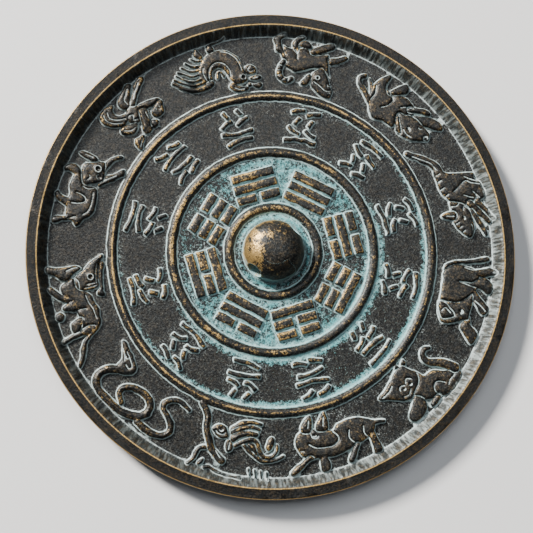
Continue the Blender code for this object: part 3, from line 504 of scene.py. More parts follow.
DOG = (
    Form(False, (
        (-4.8, 1.8), (-3.2, 0.8), (-1.6, 0.3), (0.0, 0.7), (2.1, 1.7), (4.2, 2.7), (5.6, 2.2), (7.2, 1.4),
        (8.0, 0.2), (8.0, -1.6), (8.6, -2.6), (8.6, -3.9), (7.6, -3.5), (6.2, -3.5), (4.6, -3.6),
        (2.8, -4.3), (1.6, -3.7), (-0.2, -3.5), (-2.0, -3.8), (-3.4, -3.9), (-3.7, -2.0), (-4.0, -0.4),
    )),
    Form(True, (
        (-8.3, -4.3), (-8.1, -3.4), (-6.4, -2.1), (-4.5, -1.3), (-3.5, -1.8), (-3.6, -3.0), (-5.7, -3.8),
        (-7.3, -4.7),
    )),
    Form(True, (
        (-0.4, -3.2), (-2.4, -4.2), (-4.0, -5.2), (-4.7, -6.2), (-3.8, -7.0), (-1.6, -6.3), (0.6, -4.9),
        (1.6, -3.6), (0.8, -2.8),
    )),
    Form(True, (
        (1.8, -4.2), (3.6, -4.1), (4.7, -4.5), (4.5, -5.4), (3.5, -6.2), (2.2, -6.0), (1.3, -5.2),
    )),
    Form(True, (
        (4.7, -2.2), (5.9, -3.2), (6.3, -5.2), (5.4, -6.7), (4.1, -7.3), (3.2, -6.7), (4.3, -5.6),
        (4.8, -4.4), (4.4, -3.2),
    )),
    Form(False, (
        (7.5, 0.4), (8.4, -0.7), (9.0, -1.5), (10.2, -1.8), (10.6, -3.4), (11.3, -4.9), (10.4, -6.0),
        (8.9, -6.8), (8.2, -6.2), (9.2, -5.0), (8.8, -3.4), (7.8, -2.0), (7.0, -0.8),
    )),
    Strip(True, 1.5, 1.6, ((7.6, 0.6), (8.1, 2.0), (8.1, 3.6), (7.2, 4.8), (5.8, 5.2), (4.8, 4.6))),
    Form(True, ((0.0, 4.2), (0.6, 5.2), (2.2, 5.5), (2.4, 4.6), (1.7, 3.5), (0.8, 2.2), (0.0, 2.4))),
    Form(True, (
        (-6.2, 5.8), (-5.7, 7.2), (-4.8, 7.4), (-3.2, 7.0), (-1.7, 6.3), (-0.4, 5.2), (-0.2, 4.2),
        (0.0, 2.9), (-0.1, 1.8), (-0.9, 0.7), (-2.0, 0.0), (-3.0, 0.4), (-3.8, 1.3), (-4.8, 3.2),
        (-5.7, 4.7),
    )),
    Crease(0.5, 0.35, ((-5.4, 5.5), (-4.2, 5.7), (-2.6, 4.8), (-0.9, 3.9))),
    Crease(0.5, 0.35, ((-5.0, 2.8), (-4.4, 1.2), (-3.9, -0.8), (-3.6, -2.2))),
    Crease(0.6, 0.40, ((4.4, -0.9), (4.6, -2.2), (5.3, -3.2))),
    Crease(0.4, 0.30, ((-5.1, 4.2), (-4.6, 4.4), (-4.4, 3.9))),
    Crease(0.5, 0.35, ((7.4, -1.2), (8.2, -2.4), (8.4, -3.8))),
    Crease(0.5, 0.35, ((-3.6, -3.7), (-2.0, -3.6), (-1.0, -3.2), (0.2, -2.8))),
    Crease(0.3, 0.30, ((7.3, 1.6), (9.0, 1.7))),
    Crease(0.3, 0.30, ((7.3, 2.7), (9.0, 3.0))),
    Crease(0.3, 0.30, ((6.9, 3.6), (8.5, 4.5))),
    Crease(0.3, 0.30, ((6.2, 4.2), (7.2, 5.7))),
    Crease(0.3, 0.30, ((5.4, 4.3), (5.6, 6.0))),
    Pit(-5.4, 6.5, 0.45, 0.35),
    Eye(-1.75, 2.9, 0.5),
)
PIG = (
    Form(False, (
        (-1.0, 4.2), (-0.4, 4.9), (1.2, 5.0), (2.4, 5.3), (3.7, 6.1), (4.8, 6.3), (6.2, 5.6), (7.6, 4.4),
        (8.7, 3.4), (9.5, 1.4), (9.9, -0.6), (9.9, -2.0), (9.5, -3.6), (8.6, -5.5), (7.6, -5.1),
        (7.5, -3.4), (6.4, -2.0), (4.6, -2.4), (3.4, -3.0), (1.6, -3.7), (0.2, -3.7), (-1.6, -3.3),
        (-2.8, -2.4), (-2.2, -0.2), (-0.6, 1.0), (-0.4, 2.6),
    )),
    Strip(False, 0.9, 0.6, ((9.0, 1.6), (10.0, 0.2), (11.7, -1.2))),
    Strip(False, 1.6, 1.2, ((8.2, 3.4), (10.6, 2.3), (12.8, 1.5), (13.6, 0.4), (13.0, -0.9))),
    Form(True, (
        (4.7, -1.6), (3.0, -3.2), (2.1, -4.6), (2.4, -5.9), (3.8, -6.5), (4.7, -5.2), (5.3, -3.6),
        (5.6, -2.0),
    )),
    Form(True, (
        (-1.2, -1.0), (-3.0, -2.3), (-5.2, -3.6), (-6.1, -4.6), (-5.2, -5.1), (-3.4, -4.5), (-1.8, -3.3),
        (-0.4, -2.2),
    )),
    Form(True, (
        (-10.7, -3.3), (-9.4, -2.2), (-7.4, -1.4), (-5.0, -0.6), (-3.2, -0.4), (-3.0, -1.6), (-4.6, -2.8),
        (-7.0, -4.4), (-9.4, -4.7), (-10.6, -4.2),
    )),
    Form(True, (
        (-10.0, 1.0), (-9.2, 2.0), (-8.0, 2.8), (-6.9, 4.0), (-5.2, 4.5), (-3.4, 4.9), (-2.0, 4.5),
        (-0.9, 3.4), (0.4, 1.6), (0.2, 0.5), (-1.2, 0.0), (-2.0, -0.8), (-3.6, -1.2), (-5.8, -1.1),
        (-8.0, -1.0), (-9.4, -0.4),
    )),
    Form(True, ((-3.6, 4.4), (-2.2, 4.6), (-1.0, 3.6), (0.3, 1.8), (0.2, 1.0), (-1.2, 2.2), (-2.6, 3.2))),
    Crease(0.6, 0.40, ((4.6, 2.7), (3.7, 1.3), (3.5, -0.6), (4.3, -1.6))),
    Crease(0.5, 0.30, ((4.4, -1.4), (5.6, -1.0), (6.8, -1.8), (7.6, -3.0))),
    Crease(0.6, 0.40, ((7.9, 3.0), (8.2, 0.8), (9.2, -0.9))),
    Crease(0.5, 0.35, ((0.9, -0.5), (0.0, -1.7), (-1.8, -2.7))),
    Crease(0.4, 0.30, ((-9.6, 1.4), (-8.9, 1.6), (-8.5, 0.9), (-9.0, 0.3))),
    Crease(0.4, 0.30, ((-6.8, -0.2), (-6.3, 0.3), (-5.8, 0.2))),
    Crease(0.4, 0.25, ((-6.2, 3.4), (-4.8, 3.6), (-3.4, 3.2))),
    Crease(0.4, 0.25, ((-4.9, 2.7), (-4.6, 1.9), (-3.9, 1.9))),
    Pit(-4.1, 2.4, 0.4, 0.35),
    Pit(-9.2, 0.9, 0.4, 0.3),
)
RAT = (
    Strip(False, 2.4, 1.5, ((6.2, 2.4), (8.2, 2.7), (9.8, 3.8), (11.2, 5.4), (12.6, 7.4), (13.6, 8.6))),
    Form(False, (
        (-1.8, 1.6), (-0.4, 2.8), (1.2, 3.6), (3.0, 3.9), (5.0, 3.8), (7.0, 3.8), (8.6, 3.2), (7.6, 1.8),
        (6.3, 0.9), (5.6, -0.9), (5.1, -2.8), (4.7, -4.6), (4.1, -6.1), (2.8, -5.8), (1.4, -6.9),
        (0.0, -7.0), (-1.2, -5.0), (-2.4, -4.4), (-3.2, -3.0), (-3.8, -1.4), (-2.6, -0.2),
    )),
    Strip(False, 1.6, 1.2, ((-3.2, -4.6), (-6.0, -5.9), (-8.4, -6.6))),
    Form(False, ((-2.9, -5.2), (-2.6, -6.8), (-1.2, -7.4), (0.2, -6.9), (0.2, -5.4), (-1.2, -4.6))),
    Strip(True, 2.0, 1.4, ((-3.2, -2.6), (-6.2, -4.2), (-8.9, -5.7))),
    Form(True, (
        (-12.3, -3.7), (-10.4, -3.0), (-7.6, -2.3), (-5.2, -1.8), (-4.4, -2.6), (-6.4, -3.4),
        (-9.0, -4.1), (-11.6, -4.5),
    )),
    Form(True, (
        (-11.3, 0.3), (-10.4, 1.4), (-9.0, 2.3), (-7.4, 2.9), (-6.0, 3.1), (-4.4, 2.8), (-2.6, 2.6),
        (-1.2, 2.4), (-1.7, 0.8), (-2.6, -0.7), (-4.2, -1.8), (-6.4, -2.0), (-8.4, -1.9), (-10.2, -1.3),
        (-11.2, -0.5),
    )),
    Form(True, (
        (-6.0, 2.4), (-5.6, 4.0), (-4.9, 5.3), (-3.9, 5.6), (-3.5, 4.2), (-3.7, 2.2), (-4.8, 1.6),
    )),
    Crease(0.6, 0.40, ((0.8, 0.6), (1.5, -0.8), (2.7, -3.2), (1.8, -4.6), (0.9, -6.6))),
    Crease(0.5, 0.35, ((-0.6, -1.6), (-1.4, -2.8), (-2.0, -4.0))),
    Crease(0.5, 0.30, ((3.9, -3.2), (2.6, -4.8), (1.8, -6.2))),
    Crease(0.5, 0.30, ((-0.4, -4.2), (-1.6, -4.9), (-2.4, -5.4))),
    Crease(0.4, 0.30, ((-4.4, -0.2), (-3.4, -0.8), (-4.1, -1.6))),
    Crease(0.4, 0.25, ((-9.8, -1.0), (-9.0, -1.2), (-8.3, -1.0))),
    Crease(0.4, 0.25, ((-9.6, 1.6), (-9.2, 0.9))),
    Crease(0.4, 0.25, ((-8.4, 2.2), (-8.0, 1.4))),
    Crease(0.4, 0.25, ((-7.2, 2.6), (-6.9, 1.8))),
    Crease(0.4, 0.25, ((-2.6, 2.4), (-2.9, 1.2), (-2.4, 0.2))),
    Crease(0.4, 0.25, ((0.2, 3.0), (0.7, 2.0))),
    Crease(0.4, 0.25, ((2.2, 3.6), (2.6, 2.5))),
    Crease(0.4, 0.25, ((4.2, 3.6), (4.5, 2.5))),
    Crease(0.4, 0.25, ((6.0, 3.5), (6.2, 2.5))),
    Crease(0.4, 0.25, ((7.4, 3.0), (9.4, 3.8), (11.0, 5.6), (12.6, 7.8))),
    Crease(0.4, 0.25, ((-5.0, 2.6), (-4.5, 4.4))),
    Pit(-6.2, 0.4, 0.45, 0.35),
)
ANIMALS = (OX, TIGER, RABBIT, DRAGON, SNAKE, HORSE, GOAT, MONKEY, ROOSTER, DOG, PIG, RAT)

# A few plain ticks near the rim, in the dragon's frame.
TICK_FIRST_X = 5.0
TICK_PITCH = 1.5
TICK_COUNT = 4
TICK_LENGTH = 1.9
TICK_WIDTH = 0.5
TICK_RISE = 0.5
TICK_REACH = 14.0

# How the surface is sampled while it is shaped.
WEDGE_DOUBLINGS = 5
STEPS_PER_WEDGE = 45
RADIAL_PITCH = 0.22
MOST_TRIANGLES = 188000
SEAM_GAP = 0.0002

# The furthest distance that is kept, and one that no place on the mirror reaches.
FAR = 3.0
NOWHERE_NEAR = 1.0e3

# How far a stroke goes on past its last point, as a share of its half width.
END_SHARE = 0.6

# How an animal's forms round over at their edges, and the groove that parts them.
FORM_SHOULDER = 0.55
FORM_CROWN = 1.7
GROOVE_REACH = 0.55
GROOVE_SHARE = 0.65


# The Mix node's sockets for a share and two colours, and its colour output, by number,
# because their names repeat for each kind of data.
MIX_INPUTS = (0, 6, 7)
MIX_OUTPUT = 2

# The finish.
BLACK = (0.0015, 0.0015, 0.0015, 1.0)
GRAIN_DEPTH = 0.26
BACK_GRAIN = 0.60
FACE_GRAIN = 0.12
SHARP_ANGLE = 62.0

# The stage. The camera looks from nearly above, from the lower left.
FLOOR_HALF_WIDTH = 1.5
KEY_AZIMUTH = 138.0
KEY_ELEVATION = 31.0
KEY_DISTANCE = 1.8
CAMERA_TILT = 9.57
CAMERA_AZIMUTH = 240.8
CAMERA_DISTANCE = 281.5
CAMERA_AIM = (-1.93, -4.15, 5.2)
CAMERA_LENS = 78.13


class MirrorSizes(bpy.types.PropertyGroup):
    """Sizes of the casting and of its relief."""

    outer_radius: bpy.props.FloatProperty(
        name="Outer Radius",
        description="Radius of the rim's outer edge",
        default=HIGH_CORNER[0] - 0.004 * MM,
        unit="LENGTH",
    )
    field_height: bpy.props.FloatProperty(
        name="Field Height",
        description="Height of the field above the plain face",
        default=2.5 * MM,
        unit="LENGTH",
    )
    rim_height: bpy.props.FloatProperty(
        name="Rim Height",
        description="Height of the rim above the plain face",
        default=5.2 * MM,
        unit="LENGTH",
    )
    knob_height: bpy.props.FloatProperty(
        name="Knob Height",
        description="Height of the knob's top above the plain face",
        default=HIGH_CORNER[2],
        unit="LENGTH",
    )
    relief_strength: bpy.props.FloatProperty(
        name="Relief Strength",
        description="Share of its full height that the low relief has",
        default=1.0,
        min=0.2,
        max=1.4,
        subtype="FACTOR",
    )


def colour_property(name, description, default):
    """Makes a colour that the user can change."""
    return bpy.props.FloatVectorProperty(
        name=name,
        description=description,
        default=default,
        size=4,
        min=0.0,
        max=1.0,
        subtype="COLOR",
    )


class MirrorColours(bpy.types.PropertyGroup):
    """Colours of the metal and of what has grown on it."""

    bronze: colour_property("Dark Bronze", "Colour of the blackened metal", (0.0120, 0.0128, 0.0128, 1.0))
    brown: colour_property("Brown Bronze", "Colour of the thinner brown tarnish", (0.052, 0.037, 0.020, 1.0))
    # Worn bronze also paints the highlight on the lit side of the knob and of the rings' crests.
    worn_and_highlight: colour_property("Worn Bronze", "Colour of metal rubbed bright", (0.46, 0.30, 0.11, 1.0))
    # The pale patina also paints a highlight on the side of the rim's inner wall that faces the key light.
    dust_and_highlight: colour_property("Pale Patina", "Colour of the pale bloom in the creases", (0.47, 0.55, 0.55, 1.0))
    verdigris: colour_property("Verdigris", "Colour of the blue green patina", (0.075, 0.28, 0.30, 1.0))


class MirrorStage(bpy.types.PropertyGroup):
    """The floor and the lights."""

    floor_colour: colour_property("Floor", "Colour of the pale floor", (0.62, 0.62, 0.63, 1.0))
    key_power: bpy.props.FloatProperty(
        name="Key Light",
        description="Power of the low key light",
        default=146.0,
        unit="POWER",
    )
    fill_power: bpy.props.FloatProperty(
        name="Overhead Light",
        description="Power of the soft overhead light",
        default=1.9,
        unit="POWER",
    )


def rounded(depth, run):
    """Gives a quarter round: 0 at the foot, 1 from a distance inside the outline."""
    across = np.clip(depth / run, 0.0, 1.0)
    return np.sqrt(1.0 - (1.0 - across) ** 2)


def smooth_step(low, high, value):
    """Goes smoothly from 0 at low to 1 at high."""
    across = np.clip((value - low) / (high - low), 0.0, 1.0)
    return across * across * (3.0 - 2.0 * across)


def value_noise(x, y, cell, seed):
    """Gives smooth seeded noise from -1 to 1 with bumps about a cell wide."""
    values = np.random.default_rng(seed).uniform(-1.0, 1.0, (256, 256))
    u, v = x / cell, y / cell
    i, j = np.floor(u).astype(int), np.floor(v).astype(int)
    s, t = u - i, v - j
    s, t = s * s * (3 - 2 * s), t * t * (3 - 2 * t)
    low = values[i % 256, j % 256] * (1 - s) + values[(i + 1) % 256, j % 256] * s
    high = values[i % 256, (j + 1) % 256] * (1 - s) + values[(i + 1) % 256, (j + 1) % 256] * s
    return low * (1 - t) + high * t


def limb_line(limb):
    """Lists the points along a limb's middle line and its half width at each."""
    steps = max(1, math.ceil(abs(limb.turn) / 9.0))
    spots, halves = [(limb.x, limb.y)], [limb.width / 2]
    heading = math.radians(limb.heading)
    turn = math.radians(limb.turn) / steps
    for step in range(steps):
        chord = heading + turn / 2
        x, y = spots[-1]
        spots.append((x + math.cos(chord) * limb.length / steps, y + math.sin(chord) * limb.length / steps))
        halves.append((limb.width + (limb.tip - limb.width) * (step + 1) / steps) / 2)
        heading += turn
    return spots, halves


def smooth_span(before, start, end, after):
    """Lists points from a start toward an end, on a smooth line that also fits their neighbours."""
    return [
        tuple(
            0.5 * (
                2 * b + (c - a) * part
                + (2 * a - 5 * b + 4 * c - d) * part**2 + (3 * b - a - 3 * c + d) * part**3
            )
            for a, b, c, d in zip(before, start, end, after)
        )
        for part in (0.0, 0.2, 0.4, 0.6, 0.8)
    ]


def smooth_line(points):
    """Puts a smooth line through a few points and lists the points along it."""
    ends = [points[0]] + list(points) + [points[-1]]
    line = []
    for four in zip(ends, ends[1:], ends[2:], ends[3:]):
        line += smooth_span(*four)
    return line + [tuple(points[-1])]


def distance_to_segment(x, y, start, end):
    """Gives the distance to a straight stretch, and how far along it the nearest place is."""
    (ax, ay), (bx, by) = start, end
    dx, dy = bx - ax, by - ay
    along = np.clip(((x - ax) * dx + (y - ay) * dy) / max(dx * dx + dy * dy, 1.0e-9), 0.0, 1.0)
    return np.hypot(x - ax - dx * along, y - ay - dy * along), along


def distance_to_form(x, y, points):
    """Gives the distance outside a smooth closed form, less than zero inside it."""
    ring = [points[-1]] + list(points) + list(points[:2])
    line = []
    for four in zip(ring, ring[1:], ring[2:], ring[3:]):
        line += smooth_span(*four)
    nearest = np.full(x.shape, NOWHERE_NEAR)
    inside = np.zeros(x.shape, dtype=bool)
    for (ax, ay), (bx, by) in zip(line, line[1:] + line[:1]):
        nearest = np.minimum(nearest, distance_to_segment(x, y, (ax, ay), (bx, by))[0])
        if by - ay:
            inside ^= ((ay > y) != (by > y)) & (x < ax + (y - ay) * (bx - ax) / (by - ay))
    return np.where(inside, -nearest, nearest)


def distance_to_line(x, y, spots, halves=None):
    """Gives the distance to a line, less its half width, and the half width there."""
    nearest = np.full(x.shape, NOWHERE_NEAR)
    half_there = np.zeros(x.shape)
    last = len(spots) - 2
    for index in range(last + 1):
        ax, ay = spots[index]
        bx, by = spots[index + 1]
        length = max(math.hypot(bx - ax, by - ay), 1.0e-6)
        ahead = ((bx - ax) / length, (by - ay) / length)
        run = (x - ax) * ahead[0] + (y - ay) * ahead[1]
        along = np.clip(run / length, 0.0, 1.0)
        away = np.hypot(x - ax - (bx - ax) * along, y - ay - (by - ay) * along)
        half = 0.0
        if halves is not None:
            half = halves[index] + (halves[index + 1] - halves[index]) * along
            beyond = np.zeros(x.shape)
            if index == 0:
                beyond = np.maximum(beyond, -run)
            if index == last:
                beyond = np.maximum(beyond, run - length)
            blunt = blunt_end((x - ax) * -ahead[1] + (y - ay) * ahead[0], beyond, half)
            away = np.where(beyond > 0.0, blunt + half, away)
        closer = away - half < nearest
        nearest = np.where(closer, away - half, nearest)
        half_there = np.where(closer, half, half_there)
    return nearest, half_there


def blunt_end(across, beyond, half):
    """Gives the distance outside a limb's blunt end, which has rounded corners."""
    corner = np.minimum(0.3, half * 0.8)
    out = np.abs(across) - half + corner
    over = beyond - half * END_SHARE + corner
    outside = np.hypot(np.maximum(out, 0.0), np.maximum(over, 0.0))
    return outside + np.minimum(np.maximum(out, over), 0.0) - corner


def strip_distance(x, y, strip):
    """Gives the distance outside a strip, which narrows evenly from its width to its tip."""
    line = smooth_line(strip.points)
    halves = np.linspace(strip.width / 2, strip.tip / 2, len(line))
    nearest = np.full(x.shape, NOWHERE_NEAR)
    for start, end, half, next_half in zip(line, line[1:], halves, halves[1:]):
        away, along = distance_to_segment(x, y, start, end)
        nearest = np.minimum(nearest, away - half - (next_half - half) * along)
    return nearest


def own_frame(x, y, azimuth, radius, turn, scale):
    """Takes points of the field to a motif's own frame."""
    around = math.radians(azimuth)
    upright = math.radians(azimuth + turn + 180.0)
    inward = (math.cos(upright), math.sin(upright))
    along = (inward[1], -inward[0])
    dx, dy = x - radius * math.cos(around), y - radius * math.sin(around)
    return (dx * along[0] + dy * along[1]) / scale, (dx * inward[0] + dy * inward[1]) / scale


def limb_height(outside, half, rise, edge):
    """Gives the height of a rounded limb from the distance outside its outline."""
    inside = np.maximum(-outside, 0.0)
    shoulder = rounded(inside, np.minimum(edge, np.maximum(half, 0.05) * 0.95))
    crown = rounded(inside, np.maximum(half, 0.05))
    fillet = np.clip(1.0 - np.maximum(outside, 0.0) / 0.28, 0.0, 1.0) ** 2
    return np.where(outside < 0.0, rise * (0.10 + 0.45 * shoulder + 0.45 * crown), rise * 0.10 * fillet)


class Figure:
    """One animal while it is built up: its height, its outline and its creases."""

    def __init__(self, u, v):
        self.u, self.v = u, v
        self.height = np.zeros(u.shape)
        self.outline = np.full(u.shape, FAR)
        self.crease = np.full(u.shape, FAR)

    def add(self, item):
        """Adds a form or a strip, which joins the others or lies over them."""
        edges = np.array(item.points)
        reach = FAR if isinstance(item, Form) else FAR + item.width
        near = (self.u > edges[:, 0].min() - reach) & (self.u < edges[:, 0].max() + reach)
        near &= (self.v > edges[:, 1].min() - reach) & (self.v < edges[:, 1].max() + reach)
        near = np.nonzero(near)[0]
        u, v = self.u[near], self.v[near]
        if isinstance(item, Form):
            outside = distance_to_form(u, v, item.points)
        else:
            outside = strip_distance(u, v, item)
        before, joined = self.height[near], np.minimum(self.outline[near], outside)
        if item.over:
            groove = np.clip(1.0 - np.maximum(outside, 0.0) / GROOVE_REACH, 0.0, 1.0) ** 2
            lowered = before * (1.0 - GROOVE_SHARE * groove)
            raised = np.maximum(limb_height(outside, FORM_CROWN, ANIMAL_RISE, FORM_SHOULDER), 0.45 * before)
            self.height[near] = np.where(outside < 0.0, raised, lowered)
            crease = np.where(outside < -0.3, FAR, self.crease[near])
            self.crease[near] = np.minimum(crease, np.where(before > 0.35, np.abs(outside), FAR))
        else:
            raised = limb_height(joined, FORM_CROWN, ANIMAL_RISE, FORM_SHOULDER)
            self.height[near] = np.maximum(before, raised)
        self.outline[near] = joined


class Relief:
    """The height of the low relief over the field, and what wear and patina follow."""

    def __init__(self, x, y):
        self.x, self.y = x, y
        self.radius = np.hypot(x, y)
        self.azimuth = np.degrees(np.arctan2(y, x))
        self.height = np.zeros(x.shape)
        self.outline = np.full(x.shape, FAR)
        self.crease = np.full(x.shape, FAR)

    def near(self, azimuth, radius, reach):
        """Finds the points within reach of a place on the field."""
        around = math.radians(azimuth)
        dx = self.x - radius * math.cos(around)
        dy = self.y - radius * math.sin(around)
        return np.nonzero(dx * dx + dy * dy < reach * reach)[0]

    def add_bars(self):
        """Adds the eight groups of bars."""
        half_bar = (BAR_LENGTH - BAR_GAP) / 2
        spans = {
            "whole": ((0.0, BAR_LENGTH / 2),),
            "broken": ((-(half_bar + BAR_GAP) / 2, half_bar / 2), ((half_bar + BAR_GAP) / 2, half_bar / 2)),
        }
        for number, group in enumerate(BAR_GROUPS):
            near = self.near(group.azimuth, group.radius, BAR_GROUP_REACH)
            u, v = own_frame(self.x[near], self.y[near], group.azimuth, group.radius, group.turn, 1.0)
            u = u + 0.10 * value_noise(u, v, 2.2, 40 + number)
            v = v + 0.09 * value_noise(u, v, 1.8, 60 + number)
            for row, kind in enumerate(group.bars):
                for middle, half in spans[kind]:
                    over_x = np.abs(u - middle) - half + BAR_CORNER
                    over_y = np.abs(v - (row - 1) * BAR_PITCH) - BAR_WIDTH / 2 + BAR_CORNER
                    outside = np.hypot(np.maximum(over_x, 0), np.maximum(over_y, 0)) - BAR_CORNER
                    outside = outside + np.minimum(np.maximum(over_x, over_y), 0.0)
                    rise = BAR_RISE * (1.0 + 0.12 * value_noise(u + 9 * row, v, 2.6, 80 + number))
                    self.raise_to(near, limb_height(outside, BAR_WIDTH / 2, rise, 0.28), outside)

    def add_clusters(self):
        """Adds the twelve clusters of plain strokes. Each starts on another of the rows."""
        top_row = (ROWS_PER_CLUSTER - 1) / 2 * CLUSTER_ROW_PITCH
        for cluster in range(CLUSTER_COUNT):
            azimuth = CLUSTER_FIRST_AZIMUTH - cluster * 360.0 / CLUSTER_COUNT
            mirrored = -1 if cluster % 2 else 1
            near = self.near(azimuth, CLUSTER_RADIUS, CLUSTER_REACH)
            u, v = own_frame(self.x[near], self.y[near], azimuth, CLUSTER_RADIUS, 0.0, 1.0)
            u = u + 0.16 * value_noise(u, v, 1.6, 200 + cluster)
            v = v + 0.16 * value_noise(u, v, 1.4, 230 + cluster)
            for line in range(ROWS_PER_CLUSTER):
                row = STROKE_ROWS[(cluster + line) % len(STROKE_ROWS)]
                for stroke in range(row.count):
                    slant, bend = mirrored * row.slant, mirrored * row.bend
                    lean = math.radians(slant)
                    x = (stroke - (row.count - 1) / 2) * row.pitch - math.cos(lean) * row.length / 2
                    y = top_row - line * CLUSTER_ROW_PITCH - math.sin(lean) * row.length / 2
                    limb = Limb(x, y, slant - bend / 2, row.length, bend, STROKE_WIDTH, STROKE_WIDTH)
                    outside, half = distance_to_line(u, v, *limb_line(limb))
                    self.raise_to(near, limb_height(outside, half, STROKE_RISE, 0.42), outside)

    def add_animals(self):
        """Adds the twelve animals with what is worked into them."""
        for number, animal in enumerate(ANIMALS):
            azimuth = ANIMAL_FIRST_AZIMUTH - number * 360.0 / len(ANIMALS)
            near = self.near(azimuth, ANIMAL_RADIUS, ANIMAL_REACH)
            near = near[(self.radius[near] > ANIMAL_BAND[0]) & (self.radius[near] < ANIMAL_BAND[1])]
            u, v = own_frame(self.x[near], self.y[near], azimuth, ANIMAL_RADIUS, 0.0, ANIMAL_SCALE)
            u = u + 0.08 * value_noise(u, v, 1.5, 300 + number)
            v = v + 0.08 * value_noise(u, v, 1.3, 330 + number)
            figure = Figure(u, v)
            for item in animal:
                if isinstance(item, (Form, Strip)):
                    figure.add(item)
                else:
                    figure.height, figure.crease = worked(item, u, v, figure.height, figure.crease)
            self.height[near] = np.maximum(self.height[near], figure.height)
            self.outline[near] = np.minimum(self.outline[near], figure.outline)
            self.crease[near] = np.minimum(self.crease[near], figure.crease)

    def add_ticks(self):
        """Adds the few plain ticks near the rim beside the dragon."""
        azimuth = ANIMAL_FIRST_AZIMUTH - ANIMALS.index(DRAGON) * 360.0 / len(ANIMALS)
        near = self.near(azimuth, ANIMAL_RADIUS, TICK_REACH)
        u, v = own_frame(self.x[near], self.y[near], azimuth, ANIMAL_RADIUS, 0.0, ANIMAL_SCALE)
        for tick in range(TICK_COUNT):
            limb = Limb(TICK_FIRST_X + tick * TICK_PITCH, -4.3, -72.0, TICK_LENGTH, 0, TICK_WIDTH, TICK_WIDTH)
            outside, half = distance_to_line(u, v, *limb_line(limb))
            self.raise_to(near, limb_height(outside, half, TICK_RISE, 0.25), outside)

    def raise_to(self, near, height, outside):
        """Raises the field to a form and keeps the distance to its outline."""
        self.height[near] = np.maximum(self.height[near], height)
        self.outline[near] = np.minimum(self.outline[near], outside)


def worked(item, u, v, height, crease):
    """Works one crease, ridge, pit or eye into an animal."""
    if isinstance(item, (Crease, Ridge)):
        away, _ = distance_to_line(u, v, smooth_line(item.points))
        across = np.clip(1.0 - (away / (item.width / 2 + 0.12)) ** 2, 0.0, 1.0) ** 1.5
        if isinstance(item, Ridge):
            return height + item.rise * across * (height > 0.1), crease
        lower = np.maximum(height - item.depth * across, np.minimum(height, 0.1))
        return lower, np.minimum(crease, np.where(height > 0.2, away, FAR))
    away = np.hypot(u - item.x, v - item.y)
    if isinstance(item, Eye):
        ring = np.exp(-((away - item.radius) / 0.28) ** 2)
        pit = np.exp(-((away / (item.radius * 0.55)) ** 4))
        return height + 0.25 * ring - 0.40 * pit, np.minimum(crease, np.abs(away - item.radius))
    pit = np.exp(-((away / item.radius) ** 4))
    crescent = np.abs(away - item.radius) + np.clip(v - item.y + 0.1, 0.0, 1.0)
    return height - item.depth * pit * (height > 0.1), np.minimum(crease, crescent)


def ring_height(radius):
    """Gives the height of the rings over the field."""
    height = np.zeros(radius.shape)
    for middle in RING_RADII:
        away = np.abs(radius - middle)
        slope = smooth_step(RING_FOOT_WIDTH / 2, RING_CREST_WIDTH / 2 - 0.15, away)
        crown = 0.10 * np.clip(1.0 - (away / RING_CREST_WIDTH * 2) ** 2, 0.0, 1.0)
        height = np.maximum(height, (RING_RISE - 0.1) * slope + crown)
    return height


def base_height(radius, sizes):
    """Gives the turned form: the knob and its collar, the rings, the wall and the rim."""
    field, rim, top = sizes.field_height / MM, sizes.rim_height / MM, sizes.knob_height / MM
    outer = sizes.outer_radius / MM
    height = field + ring_height(radius)
    collar = field + KNOB_COLLAR_RISE * rounded(KNOB_COLLAR_RADIUS - radius, 0.5)
    height = np.maximum(height, collar)
    dome = np.clip(1.0 - (radius / KNOB_RADIUS) ** KNOB_FULLNESS, 0.0, 1.0) ** (1 / KNOB_FULLNESS)
    rise = top - field - KNOB_COLLAR_RISE
    height = np.where(radius < KNOB_RADIUS, field + KNOB_COLLAR_RISE + rise * dome, height)
    wall = (radius - WALL_FOOT_RADIUS) / (RIM_INNER_RADIUS - WALL_FOOT_RADIUS)
    climb = np.clip(wall, 0.0, 1.0)
    climb = climb - 0.10 * np.sin(2 * math.pi * climb)
    height = np.where(radius > WALL_FOOT_RADIUS, field + (rim - field) * climb, height)
    edge = np.clip((radius - (outer - RIM_EDGE_ROUNDING)) / RIM_EDGE_ROUNDING, 0.0, 1.0)
    rounding = RIM_EDGE_ROUNDING * (1.0 - np.sqrt(1.0 - edge**2))
    return np.where(radius > RIM_INNER_RADIUS, rim - rounding, height)


def section_radii(sizes):
    """Lists the radii where the upper side is sampled, closer where it curves."""
    outer = sizes.outer_radius / MM
    dome = [KNOB_RADIUS * math.sin(math.pi / 2 * step / 60) ** 0.8 for step in range(61)]
    bands = []
    start = KNOB_RADIUS
    stops = [KNOB_COLLAR_RADIUS]
    for middle in RING_RADII:
        stops += [middle - RING_FOOT_WIDTH / 2, middle + RING_FOOT_WIDTH / 2]
    stops += [WALL_FOOT_RADIUS, RIM_INNER_RADIUS, outer - RIM_EDGE_ROUNDING]
    for stop in stops:
        steps = max(2, math.ceil((stop - start) / RADIAL_PITCH))
        bands += [start + (stop - start) * (step + 1) / steps for step in range(steps)]
        start = stop
    swings = [math.pi / 12 * step for step in range(1, 7)]
    edge = [outer - RIM_EDGE_ROUNDING + RIM_EDGE_ROUNDING * math.sin(swing) for swing in swings]
    return dome + bands + edge


